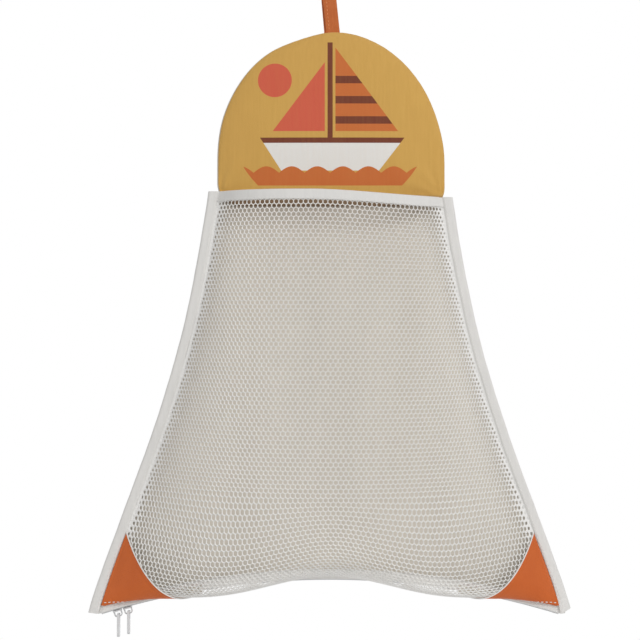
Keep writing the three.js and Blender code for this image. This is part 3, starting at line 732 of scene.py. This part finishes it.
def head_ring(outline, share, y):
    """The outline drawn in to a share of its size, at one depth or a depth for each point."""
    x = outline[:, 0] * share
    z = lerp(HEAD_MIDDLE, outline[:, 1], share)
    return np.stack([x, np.broadcast_to(y, x.shape), z], axis=-1)


def corner_creases(x, z):
    """Folds that run out from the two lower corners, where the mouth's tape presses on the pad."""
    creases = 0
    for side in (-1, 1):
        dx, dz = x - side * CREASE_X, z - CREASE_Z
        near = np.exp(-(dx ** 2 + dz ** 2) / CREASE_REACH ** 2)
        turn = np.arctan2(dz, -side * dx)
        creases += CREASE_DEPTH * near * np.sin(CREASE_COUNT * turn + CREASE_TURN * side)
    return creases


def head_front_rings(inset):
    """Rings from the seam over the crown to the middle, with puckers where the seam draws in."""
    outline = head_outline(HEAD_SEGMENTS)
    drift, drift_count = PUCKER_DRIFT
    pucker = np.sin(HEAD_TURNS * PUCKER_COUNT) + drift * np.sin(HEAD_TURNS * drift_count + 1)
    fit = (HEAD_HALF_WIDTH - inset) / HEAD_HALF_WIDTH
    tucked, rolled = SEAM_ROLL
    rings = [head_ring(outline, fit * tucked, HEAD_RIM_Y)]
    rings.append(head_ring(outline, fit, HEAD_RIM_Y - CLOTH + inset * rolled))
    for share in CROWN_SHARES:
        draw = PUCKER_DEPTH * np.exp(-(1 - share) / PUCKER_REACH) * pucker
        crown = HEAD_RIM + HEAD_CROWN * math.sqrt(1 - share ** 3)
        ring = head_ring(outline, fit * share, HEAD_RIM_Y - crown + inset)
        ring[:, 1] += draw + corner_creases(ring[:, 0], ring[:, 2])
        rings.append(ring)
    return np.array(rings)


def build_foam(material):
    """The pad inside the cover, with room for the strap's tail."""
    rings = head_front_rings(FOAM_INSET)[1:]
    rings[0, :, 1] = FOAM_BACK
    wide, low, front = FOAM_SLOT
    slot = (np.abs(rings[..., 0]) < wide) & (rings[..., 2] > low)
    rings[..., 1] = np.where(slot, np.minimum(rings[..., 1], front), rings[..., 1])
    foam = dress(sweep("head_foam", rings), material, "foam", "head_foam_core")


def build_head(canvas, cloth, thread):
    rings = np.concatenate([head_front_rings(0)[::-1], head_front_rings(CLOTH)])
    front = dress(sweep("head_front_padded", rings), canvas, "gold_canvas", "head_front_cover")
    outline = head_outline(HEAD_SEGMENTS)
    pucker = 1 + HEAD_BACK_PUCKER * np.sin(HEAD_TURNS * PUCKER_COUNT)
    rings = [head_ring(outline, share, -CLOTH * depth) for share, depth in HEAD_BACK_LINING]
    rings += [head_ring(outline, share, -sink * pucker) for share, sink in HEAD_BACK_FACE]
    rings.append(head_ring(outline, SEAM_SHARE, STITCH_LIFT - SEAM_SINK))
    rings = np.array(rings)
    rings[..., 0] += HEAD_BACK_SHIFT
    back = dress(sweep("head_back_cloth", rings[:-1]), cloth, "cream_cloth", "head_back_cover")
    seam = rings[-1]
    sew("head_back_stitches", np.concatenate([seam, seam[:1]]), (0, 1, 0), HEAD_STITCH, thread)


# Pieces: strap loop
STRAP_LEAN_TOP = -3.6
STRAP_LEAN_FOOT = 2.3
STRAP_TRIM = 0.5
STRAP_PLAY = 0.04
STRAP_FLAT_INSET = 0.5
STRAP_EDGE = [(0.1, 0.55), (0, 0), (0.1, -0.55)]
STRAP_RIB = 0.10
STRAP_RIB_TURN = 9
STRAP_POINTS = 9
STRAP_LEGS = (-1.5, 0.6)
STRAP_SEAM = 3.5
STRAP_SEAM_STEPS = 60
STRAP_STITCH = (2.6, 0.8, 0.42)
LEG_STEPS = 24
BEND_STEPS = 22
TAIL_STEPS = 7


def build_loop(material, thread):
    radius = LOOP_BEND_RADIUS + STRAP_THICKNESS / 2
    back_y = -CLOTH - GAP - STRAP_THICKNESS / 2
    front_y = back_y - STRAP_THICKNESS
    centre_y = back_y - radius
    centre_z = -LOOP_BEND_RADIUS
    tail_z = HEAD_TOP - STRAP_TAIL
    away = np.array([front_y - centre_y, HEAD_TOP - centre_z])
    front_turn = math.atan2(away[1], away[0]) + 2 * math.pi - math.acos(radius / np.linalg.norm(away))
    path = run(back_y, tail_z, centre_z, LEG_STEPS)
    path += arc((centre_y, centre_z), radius, 0, math.degrees(front_turn), BEND_STEPS)[1:]
    path += [tuple(p) for p in np.linspace(path[-1], (front_y, HEAD_TOP), BEND_STEPS)[1:]]
    path += run(front_y, HEAD_TOP, tail_z, TAIL_STEPS)[1:]
    path = np.array(path)
    tangent = unit(np.gradient(path, axis=0))
    normal = np.stack([tangent[:, 1], -tangent[:, 0]], axis=-1)
    half = STRAP_WIDTH / 2 - STRAP_TRIM
    thick = STRAP_THICKNESS / 2 - STRAP_PLAY
    section = []
    for side in (1, -1):
        for share in np.linspace(-1, 1, STRAP_POINTS):
            rib = 1 + STRAP_RIB * math.cos(share * STRAP_RIB_TURN)
            section.append((share * side * (half - STRAP_FLAT_INSET), side * thick * rib))
        section += [(side * (half - inset), side * thick * lift) for inset, lift in STRAP_EDGE]

    def lean(z):
        return lerp(STRAP_LEAN_TOP, STRAP_LEAN_FOOT, np.clip(z / HEAD_TOP, 0, 1))

    shift = lerp(*STRAP_LEGS, np.linspace(0, 1, len(path))) + lean(path[:, 1])
    rings = []
    for (y, z), (ny, nz), dx in zip(path, normal, shift):
        rings.append([(x + dx, y + ny * out, z + nz * out) for x, out in section])
    dress(sweep("strap_loop", rings), material, "orange_webbing", "hanging_loop")
    front_leg = np.arange(len(path)) > LEG_STEPS + BEND_STEPS - 2
    face = path[(path[:, 0] < centre_y) | front_leg][::-1]
    heights = np.linspace(HEAD_TOP + 1, centre_z, STRAP_SEAM_STEPS)
    depths = np.interp(heights, face[:, 1], face[:, 0]) - thick
    edge = np.stack([lean(heights) - half + STRAP_SEAM, depths, heights], axis=-1)
    sew("strap_stitches", edge, (0, -1, 0), STRAP_STITCH, thread)


# Pieces: back panel
PANEL_DIP_REACH = 0.12
PANEL_CORNER_LIFT = 6
PANEL_CORNER_START = 0.965
PANEL_FOLDS = [(1.6, 34, -210), (2.2, 15, 120), (0.8, 7.5, -66)]
PANEL_SLACK = 3.4
PANEL_MOST = 0.5
PANEL_PHASE = 0.4
PANEL_PLAY = 0.1
PANEL_STEPS = 90


def build_back_panel(cloth):
    across = np.linspace(-1, 1, PANEL_STEPS)
    corner = smooth((np.abs(across) - PANEL_CORNER_START) / (1 - PANEL_CORNER_START))
    hem = zip_height(across * (ZIP_HALF_SPAN - GAP)) + CLOTH + GAP + PANEL_CORNER_LIFT * corner
    rows = []
    for share in np.linspace(0, 1, PANEL_STEPS):
        x = across * (half_width(share) - EDGE_INSET)
        z = lerp(MOUTH_TOP, hem, share) - mouth_dip(x) * (1 - smooth(share / PANEL_DIP_REACH))
        free = (1 - across ** 6) * smooth(share * 3) * smooth((1 - share) * 5)
        folds = sum(size * np.sin(x / wide + z / tall + PANEL_PHASE) for size, wide, tall in PANEL_FOLDS)
        y = PANEL_Y + free * np.minimum(folds - PANEL_SLACK, PANEL_MOST)
        rows.append(np.stack([x, y, z], axis=-1))
    grid = np.array(rows)
    thickness = np.array([0, CLOTH / 2 - PANEL_PLAY, 0])
    panel = shell("back_cloth", grid - thickness, grid + thickness)
    dress(panel, cloth, "cream_cloth", "back_panel")


# Pieces: net
HEX_PITCH = 4.55
HEX_SIDE = HEX_PITCH / math.sqrt(3)
STRAND_WIDTH = 0.95
STRAND_HEIGHT = 0.8
EDGE_CLOSE = 0.34
EDGE_CLOSE_REACH = 14
SELVAGE_WIDTH = 2.4
SELVAGE_TUCK = 1.3
SELVAGE_ROWS = 160
SELVAGE_CORNERS = 4
SELVAGE_SPAN = (0.02, 1.9)
DROP_STEPS = 800
ROW_STEPS = 500
NET_SMOOTH_ANGLE = 75
HEX_CORNERS = [(1, 1), (0, 2), (-1, 1), (-1, -1), (0, -2), (1, -1)]


class NetLattice:
    """Places the corners of a honeycomb on the net's surface, evenly along its rows and its middle."""

    def __init__(self):
        self.down = np.linspace(0, 2, DROP_STEPS)
        self.drop = arc_length(net_point(0, self.down))
        self.rows = int(self.drop[-1] / (1.5 * HEX_SIDE))
        self.step = self.drop[-1] / (3 * self.rows + 1)
        self.across = np.linspace(0, 2, ROW_STEPS)
        self.spans = {}
        self.index = {}
        self.places = []

    def span(self, level):
        """The row's own down value and the length along it against across."""
        if level not in self.spans:
            down = float(np.interp(level * self.step, self.drop, self.down))
            self.spans[level] = (down, arc_length(net_point(self.across, down)))
        return self.spans[level]

    def reach(self, level):
        return int(self.span(level)[1][-1] / (HEX_PITCH / 2))

    def corner(self, column, level):
        """Number of a corner, made on first use."""
        key = (column, level)
        if key not in self.index:
            down, length = self.span(level)
            flat = column * HEX_PITCH / 2
            side = float(np.interp(abs(flat), length, self.across))
            self.index[key] = len(self.places)
            self.places.append((math.copysign(side, flat), down))
        return self.index[key]

    def cells(self):
        made = []
        for row in range(self.rows):
            level = 3 * row + 2
            edge = min(self.reach(level - 2), self.reach(level), self.reach(level + 2)) - 1
            for column in range(-edge, edge + 1):
                if (column + row) % 2 == 0:
                    made.append([self.corner(column + dc, level + dl) for dc, dl in HEX_CORNERS])
        return np.array(made)


def selvage(side):
    """The net's firm edge, a flat ribbon that runs under the side binding."""
    down = np.linspace(*SELVAGE_SPAN, SELVAGE_ROWS)
    inner = side * (1 - SELVAGE_WIDTH / np.abs(net_point(side, down)[:, 0]))
    outer = side * SELVAGE_TUCK
    face, back = -STRAND_HEIGHT / 4, -STRAND_HEIGHT / 2
    corners = [(inner, face), (outer, face), (outer, back), (inner, back)]
    return np.stack([net_offset(across, down, out) for across, out in corners], axis=1)


def build_net(material):
    """Strands along every edge of the honeycomb, whose cells are drawn closed at the sewn sides."""
    lattice = NetLattice()
    cells = lattice.cells()
    across, down = np.array(lattice.places).T
    corners = net_point(across, down)
    rise = net_normal(across, down) * STRAND_HEIGHT / 2
    middle = corners[cells].mean(axis=1, keepdims=True)
    from_edge = (1 - np.abs(across)) * np.abs(net_point(1, down)[:, 0])
    drawn = EDGE_CLOSE * smooth(1 - from_edge[cells].mean(axis=1) / EDGE_CLOSE_REACH)
    inward = STRAND_WIDTH / HEX_PITCH + drawn[:, None, None]
    lip = lerp(corners[cells], middle, inward) - rise[cells]
    count = len(corners)
    points = np.concatenate([corners + rise, corners - rise, lip.reshape(-1, 3)])
    lips = 2 * count + np.arange(cells.size).reshape(cells.shape)
    faces = []
    around = {}
    at_corner = {}
    for cell, inner in zip(cells.tolist(), lips.tolist()):
        for k in range(6):
            after = (k + 1) % 6
            faces.append((cell[k], cell[after], inner[after], inner[k]))
            first, second = sorted([(cell[k], inner[k]), (cell[after], inner[after])])
            around.setdefault((first[0], second[0]), []).append((first[1], second[1]))
            at_corner.setdefault(cell[k], []).append(inner[k])
    for (first, second), sides in around.items():
        if len(sides) == 2:
            faces.append((*sides[0], *sides[1][::-1]))
        else:
            faces.append((*sides[0], count + second, count + first))
            faces.append((first, second, count + second, count + first))
    for corner, inners in at_corner.items():
        rim = inners if len(inners) == 3 else inners + [count + corner]
        if len(rim) == 3:
            faces.append(tuple(rim))
    for side in (-1, 1):
        edge = selvage(side)
        faces += grid_faces(len(edge), SELVAGE_CORNERS, len(points), True)
        points = np.concatenate([points, edge.reshape(-1, 3)])
    net = make_object("net_lattice", points, faces)
    dress(net, material, "white_net", "mesh_front", angle=NET_SMOOTH_ANGLE)


# Pieces: bindings
TAPE_ROUND = 0.3
TAPE_STITCH = (2.4, 1.3, 0.26)
TAPE_SEAM = 1.9
TACK_STITCH = (1.6, 0.7, 0.26)
TACK_STEPS = 12
TACK_ACROSS = 0.972
TACK_MARGIN = 1.3
MOUTH_STEPS = 161
MOUTH_END_LAP = 0.9
MOUTH_SPAN = 130
MOUTH_PUFF = (0.05, 0.4)
MOUTH_WAVE = (0.12, 1.7)
MOUTH_SEAM_DOWN = 0.03
SIDE_STEPS = 140
SIDE_BEND = 2.4
SIDE_WAVE = 0.10
SIDE_WIDTH_WAVE = 0.16
SIDE_BACK_Y = -0.02
SIDE_STITCH_LIFT = 0.08
SIDE_BACK_STITCH_Y = -0.05
SLANT_REACH = 25
LEG_TAPER = 0.45
LEG_TAPER_REACH = 1.8
LINING_EASE = 0.2
TUCK_RISE = 0.1
TUCK_REACH = (CLOTH + TUCK_RISE, 6.0)


def build_mouth_binding(tape, thread):
    """Tape over the net's top edge. Its section goes out from the net and down from the fold."""
    inside = NET_THICKNESS / 2 + GAP
    outside = inside + CLOTH
    middle = (inside + outside) / 2
    hem = BINDING_WIDTH - TAPE_ROUND
    section = run(outside, hem, outside, 8) + arc((0, outside), outside, 0, -180, 11)[1:-1]
    section += run(-outside, outside, hem, 8) + [(-middle, BINDING_WIDTH)]
    section += run(-inside, hem, outside, 5) + run(inside, outside, hem, 5) + [(middle, BINDING_WIDTH)]
    end = 1 + MOUTH_END_LAP / (BINDING_WIDTH + GAP - EDGE_INSET)
    columns = np.sin(np.linspace(-0.5, 0.5, MOUTH_STEPS) * math.pi) * end

    def place(across, out, drop):
        down = max(0, drop - EDGE_INSET) / (NET_TOP - KNEE_TOP)
        point = net_offset(across, down, out)
        point[2] = MOUTH_TOP - mouth_dip(point[0]) - drop
        return point

    rings = []
    for across in columns:
        puff = sway(across * MOUTH_SPAN, *MOUTH_PUFF)
        wave = sway(across * MOUTH_SPAN, *MOUTH_WAVE)
        ring = []
        for out, drop in section:
            swell = 1 + puff * math.sin(math.pi * min(1, drop / BINDING_WIDTH))
            ring.append(place(across, out * swell, drop + wave * drop / BINDING_WIDTH))
        rings.append(ring)
    dress(sweep("mouth_tape", rings), tape, "white_tape", "mouth_binding")
    lifted = outside + STITCH_LIFT
    seam = [place(across, lifted, BINDING_WIDTH - TAPE_SEAM) for across in columns]
    sew("mouth_stitches", seam, net_normal(columns, MOUTH_SEAM_DOWN), TAPE_STITCH, thread)
    drops = np.linspace(TACK_MARGIN, BINDING_WIDTH - TACK_MARGIN, TACK_STEPS)
    for name, across in (("left", -TACK_ACROSS), ("right", TACK_ACROSS)):
        tack = [place(across, lifted, drop) for drop in drops]
        sew(name + "_mouth_tack", tack, net_normal(across, MOUTH_SEAM_DOWN), TACK_STITCH, thread)


def build_side_binding(side, name, tape, thread):
    """Tape round one side of the pouch. Its section goes inward, i, from the edge and along y."""
    top = MOUTH_TOP - mouth_dip(side * MOUTH_HALF_WIDTH)
    cut = BINDING_SLANTS[side]
    end = BINDING_END + cut * BINDING_WIDTH
    rings = []
    front_seam = []
    back_seam = []
    for z in np.linspace(top, end, SIDE_STEPS):
        edge = half_width(side_share(z)) + sway(z, SIDE_WAVE, 0.9 * side)
        width = BINDING_WIDTH + sway(z, SIDE_WIDTH_WAVE, 2.0 + side)
        hem = width - TAPE_ROUND

        def front(i):
            return NET_EDGE_FRONT - GAP - CLOTH - edge_step(edge - i, z)

        def taper(i):
            return LEG_TAPER * smooth((i - width + LEG_TAPER_REACH) / LEG_TAPER_REACH)

        depth = -front(0)
        bend = min(SIDE_BEND, depth / 2)
        section = arc((bend, -bend), bend, 90, 180, 6)
        section += run(0, -bend, bend - depth, 5)[1:-1]
        section += arc((bend, bend - depth), bend, 180, 270, 6)
        section += [(i, front(i) + taper(i)) for i in np.linspace(bend, hem, 12)[1:]]
        section += [(width, front(width) + (CLOTH + LEG_TAPER) / 2)]
        section += [(i, front(i) + CLOTH) for i in np.linspace(hem, bend, 4)]
        section += [(CLOTH, bend - depth + LINING_EASE), (CLOTH, -bend - LINING_EASE)]
        section += [(i, -CLOTH) for i in np.linspace(bend, hem, 4)] + [(width, -CLOTH / 2)]
        section += [(i, SIDE_BACK_Y) for i in np.linspace(hem, bend, 4)[:-1]]
        slant = cut * smooth((end + SLANT_REACH - z) / SLANT_REACH)
        rings.append([(side * (edge - i), min(y, SIDE_BACK_Y), z - slant * i) for i, y in section])
        mark = width - TAPE_SEAM
        front_seam.append((side * (edge - mark), front(mark) - SIDE_STITCH_LIFT, z))
        back_seam.append((side * (edge - mark), SIDE_BACK_STITCH_Y, z))
    dress(sweep(name + "_side_tape", rings), tape, "white_tape", name + "_side_binding")
    for label, z, slope, up in (("_top_tuck", top, 0, -1), ("_low_tuck", end, cut, 1)):
        edge = half_width(side_share(z))
        near, far = TUCK_REACH
        back_y = -CLOTH - TUCK_RISE
        front_y = NET_EDGE_FRONT - GAP - edge_step(edge, z) + TUCK_RISE
        corners = [(near, back_y), (near, front_y), (far, front_y), (far, back_y)]
        layers = z + up * np.linspace(TUCK_RISE, TUCK_RISE + CLOTH, 3)
        rings = [[(side * (edge - i), y, height - slope * i) for i, y in corners] for height in layers]
        dress(sweep(name + label, rings), tape, "white_tape")
    sew(name + "_side_stitches", front_seam, (0, -1, 0), TAPE_STITCH, thread)
    sew(name + "_side_back_stitches", back_seam, (0, 1, 0), TAPE_STITCH, thread)


# Pieces: corner patches
PATCH_ROWS = 44
PATCH_COLUMNS = 64
PATCH_CROWDING = 0.6
PATCH_SEAT = NET_THICKNESS / 2 + 0.08
PATCH_EDGE = 1.2
PATCH_EDGE_SHARE = 0.25
PATCH_SEAM = 3.0
PATCH_SEAM_SPAN = (0.03, 0.985)
PATCH_SEAM_DOWN = 1.9
PATCH_PINCH = 0.22
PATCH_PINCH_REACH = 1.1
PATCH_SWELL = 0.25
PATCH_SWELL_REACH = 14
PATCH_STITCH = (2.6, 1.5, 0.42)
PATCH_STITCH_LIFT = 0.12
PATCH_LINE_STEPS = 90
PATCH_DROP_STEPS = 80
PIPING_LIFT = 0.7


def spaced(count):
    """Shares from 0 to 1, closer together at both ends."""
    even = np.linspace(0, 1, count)
    return lerp(even, 0.5 - 0.5 * np.cos(even * math.pi), PATCH_CROWDING)


def patch_height(share):
    """Height of a patch, from its tip at 0 to the side binding at 1."""
    return lerp(PATCH_TIP_HEIGHT, PATCH_HEIGHT, share ** PATCH_CURVE)


def patch_relief(share, fall):
    """Lift of a patch's face: rounded at its edges, drawn in along its seam, a little uneven."""
    inward = np.minimum(fall, 1 - fall) * patch_height(share)
    inward = np.minimum(inward, np.minimum(share, 1 - share) * PATCH_WIDTH)
    edge = np.clip(inward / PATCH_EDGE, 0, 1)
    full = lerp(PATCH_EDGE_SHARE, 1, np.sqrt(edge * (2 - edge)))
    pinch = PATCH_PINCH * np.exp(-((inward - PATCH_SEAM) / PATCH_PINCH_REACH) ** 2)
    swell = PATCH_SWELL * (1 + np.sin(share * 9 + 2 * fall)) * smooth(inward / PATCH_SWELL_REACH)
    return PATCH_SEAT + PATCH_THICKNESS * full - pinch + swell


def build_patch(side, name, leather, backing, thread):
    free = BOTTOM_HALF_WIDTH - BINDING_WIDTH - GAP
    tip = 1 - PATCH_WIDTH / free
    seated = 1 - PATCH_THICKNESS / free
    rise = KNEE_TOP - POUCH_BOTTOM

    def place(share, fall, distance):
        top = np.arcsin(1 - np.minimum(1, patch_height(share) / rise)) / (math.pi / 2)
        down = lerp(1 + top, 2 - PATCH_HEM_SHARE, fall)
        return net_offset(side * lerp(tip, seated, share), down, distance)

    share, fall = np.meshgrid(spaced(PATCH_COLUMNS), spaced(PATCH_ROWS))
    outer = place(share, fall, patch_relief(share, fall))
    patch = shell(name + "_leather_patch", outer, place(share, fall, PATCH_SEAT))
    dress(patch, leather, "orange_leatherette", name + "_corner_patch")
    patch.data.materials.append(backing)
    face_count = (PATCH_ROWS - 1) * (PATCH_COLUMNS - 1)
    for face in patch.data.polygons[face_count:2 * face_count]:
        face.material_index = 1
    shares = np.linspace(*PATCH_SEAM_SPAN, PATCH_LINE_STEPS)
    drops = np.linspace(1, 0, PATCH_DROP_STEPS)
    upward = [arc_length(place(at, drops, PATCH_SEAT)) for at in shares]
    falls = np.array([np.interp(PATCH_SEAM, line, drops) for line in upward])
    seam = place(shares, falls, patch_relief(shares, falls) + PATCH_STITCH_LIFT)
    facing = net_normal(side * lerp(tip, seated, shares), PATCH_SEAM_DOWN)
    sew(name + "_patch_stitches", seam, facing, PATCH_STITCH, thread)
    crest = PATCH_SEAT + PATCH_THICKNESS * PIPING_LIFT
    slope = place(np.linspace(0, 1, PATCH_LINE_STEPS), 0, crest)
    pipe(name + "_patch_piping", slope, (0, 1, 0), thread)
    pipe(name + "_patch_tip_piping", place(0, drops, crest), (1, 0, 0), thread)


# Pieces: zipper
TAPE_BEND = 1.6
TAPE_LIP = 0.8
TAPE_STEPS = 161
TAPE_WAVE = 0.01
ZIP_SEAM_RISE = 3.4
ZIP_STITCH_LIFT = 0.05
METAL_BEVELS = {"teeth": 0.3, "stop": 0.3, "slider": 0.25, "pull": 0.45}
BEVEL_SEGMENTS = 3
BEVEL_ANGLE = 40
NODE_SMOOTH_ANGLE = 45


def on_zip(along, y, height):
    """A point of the zipper's arc, along it from the middle, at a width and a height off the arc."""
    angle = along / ZIP_RADIUS
    radius = ZIP_RADIUS + height
    return (radius * math.sin(angle), y, ZIP_CENTRE + radius * math.cos(angle))


def build_zipper_tape(side, tape, thread):
    name = "front" if side < 0 else "back"
    inner, outer = CHAIN_HALF_WIDTH + GAP, TAPE_HALF_WIDTH
    turn = (outer - TAPE_BEND, TAPE_BEND)
    rim = TAPE_WALL - TAPE_ROUND
    section = [(inner, 0), (inner + TAPE_LIP, 0)] + arc(turn, TAPE_BEND, -90, 0, 7)
    section += run(outer, TAPE_BEND, rim, 6)[1:] + [(outer - CLOTH / 2, TAPE_WALL)]
    section += run(outer - CLOTH, rim, TAPE_BEND, 6) + arc(turn, TAPE_BEND - CLOTH, 0, -90, 5)[1:]
    section += [(inner, CLOTH)]
    reach = ZIP_RADIUS * math.asin((ZIP_HALF_SPAN - TAPE_END_TRIM) / ZIP_RADIUS)
    rings = []
    seam = []
    for along in np.linspace(-reach, reach, TAPE_STEPS):
        wave = 1 + sway(along, TAPE_WAVE, 1.3 + side)
        lift = TAPE_END_LIFT * smooth((abs(along) - reach + TAPE_END_REACH) / TAPE_END_REACH)
        rings.append([on_zip(along, ZIP_Y + side * out, lift + up * wave) for out, up in section])
        seam.append(on_zip(along, ZIP_Y + side * (outer + ZIP_STITCH_LIFT), lift + ZIP_SEAM_RISE))
    dress(sweep("zip_" + name + "_tape", rings), tape, "white_tape", "zipper_" + name + "_tape")
    sew("zip_" + name + "_stitches", seam, (0, side, 0), TAPE_STITCH, thread)


def finish_node(name, material, bevel):
    """Gives a frame node its finish and broken edges."""
    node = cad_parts[name]
    node.data.materials.clear()
    node.data.materials.append(material)
    edges = node.modifiers.new("broken_edges", "BEVEL")
    edges.width = bevel * MM
    edges.segments = BEVEL_SEGMENTS
    edges.limit_method = "ANGLE"
    edges.angle_limit = math.radians(BEVEL_ANGLE)
    shade_smooth(node, NODE_SMOOTH_ANGLE)


# All materials and pieces
canvas = printed_canvas()
cream_cloth = woven("cream_cloth", CREAM, CREAM_SHADE, CLOTH_PITCH)
# The back panel's cloth carries a painted shade below the mouth's tape
panel_cloth = woven("cream_panel", CREAM, CREAM_SHADE, CLOTH_PITCH, MOUTH_SHADE)
knit_backing = woven("knit_backing", CREAM, CREAM_SHADE, BACKING_PITCH)
white_tape = woven("white_tape", WHITE, WHITE_SHADE, TAPE_PITCH)
orange_leather = leatherette()
orange_strap = webbing()
yarn = plain("white_net", 0.7, (WHITE, NET_WHITE), 0.08, noise=(1500, 2), spread=0.1, sheen=0.1)
foam_pad = plain("foam", 0.95, (FOAM, CREAM_SHADE), 0.3, cells=1200)
metal = enamel()
thread = plain("white_thread", 0.6, (WHITE_SHADE, THREAD), 0.08, noise=THREAD_TWIST)
orange_thread = plain("orange_thread", 0.6, (ORANGE, ORANGE_LIGHT), 0.08, noise=THREAD_TWIST)

build_head(canvas, cream_cloth, thread)
build_foam(foam_pad)
build_loop(orange_strap, orange_thread)
build_back_panel(panel_cloth)
build_net(yarn)
build_mouth_binding(white_tape, thread)
for side, name in ((-1, "left"), (1, "right")):
    build_side_binding(side, name, white_tape, thread)
    build_patch(side, name, orange_leather, knit_backing, thread)
    build_zipper_tape(side, white_tape, thread)
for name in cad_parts:
    kind = name.split("_")[-1]
    if kind in METAL_BEVELS:
        finish_node(name, metal, METAL_BEVELS[kind])

# Camera and lamps, placed in metres, background and floor
CAMERA_LENS = 95
CAMERA_SENSOR = 36
CAMERA_PLACE = (-0.0095, -1.6, -0.3326)
MIDDLE = (0, -0.04, -0.33)
LAMPS = {
    "key": ((1.1, -1.5, 0.55), 1.0, 19),
    "fill": ((-1.4, -1.2, 0.0), 1.4, 5),
    "back": ((0.3, 1.4, 0.6), 1.2, 13),
}
SOFT_LIGHT = 0.40
FLOOR_Z = -780
FLOOR_RADIUS = 700
FLOOR_CORNERS = 128
FLOOR_GREY = (0.92, 0.92, 0.92, 1)
FLOOR_ROUGHNESS = 0.9

scene = bpy.context.scene
camera_data = bpy.data.cameras.new("camera")
camera_data.lens = CAMERA_LENS
camera_data.sensor_width = CAMERA_SENSOR
camera = bpy.data.objects.new("camera", camera_data)
camera.location = CAMERA_PLACE
camera.rotation_euler = (math.radians(90), 0, 0)
scene.collection.objects.link(camera)
scene.camera = camera

for name, (place, size, power) in LAMPS.items():
    lamp_data = bpy.data.lights.new(name, "AREA")
    lamp_data.energy = power
    lamp_data.size = size
    lamp = bpy.data.objects.new(name, lamp_data)
    lamp.location = place
    lamp.rotation_euler = (Vector(MIDDLE) - Vector(place)).to_track_quat("-Z", "Y").to_euler()
    scene.collection.objects.link(lamp)


def background_world():
    """White where the camera, a gloss or a clear piece shows it, an even soft light elsewhere."""
    world = bpy.data.worlds.new("world")
    world.use_nodes = True
    world.node_tree.nodes.clear()
    nodes = Nodes(world.node_tree)
    rays = nodes.add("ShaderNodeLightPath").outputs
    mirrored = nodes.math("MAXIMUM", rays["Is Glossy Ray"], rays["Is Transmission Ray"])
    sockets = {0: nodes.math("MAXIMUM", rays["Is Camera Ray"], mirrored)}
    for socket, strength in ((1, SOFT_LIGHT), (2, 1)):
        light = nodes.add("ShaderNodeBackground", {"Color": (1, 1, 1, 1), "Strength": strength})
        sockets[socket] = light.outputs[0]
    either = nodes.add("ShaderNodeMixShader", sockets)
    nodes.add("ShaderNodeOutputWorld", {0: either.outputs[0]})
    return world


scene.world = background_world()
scene.view_settings.view_transform = "Standard"

floor_rim = arc((0, 0), FLOOR_RADIUS, 0, 360, FLOOR_CORNERS + 1)[:-1]
floor = make_object("floor", [(x, y, FLOOR_Z) for x, y in floor_rim], [tuple(range(FLOOR_CORNERS))])
floor_shader = Shader("floor", FLOOR_ROUGHNESS)
floor_shader.colour(FLOOR_GREY)
floor.data.materials.append(floor_shader.material)
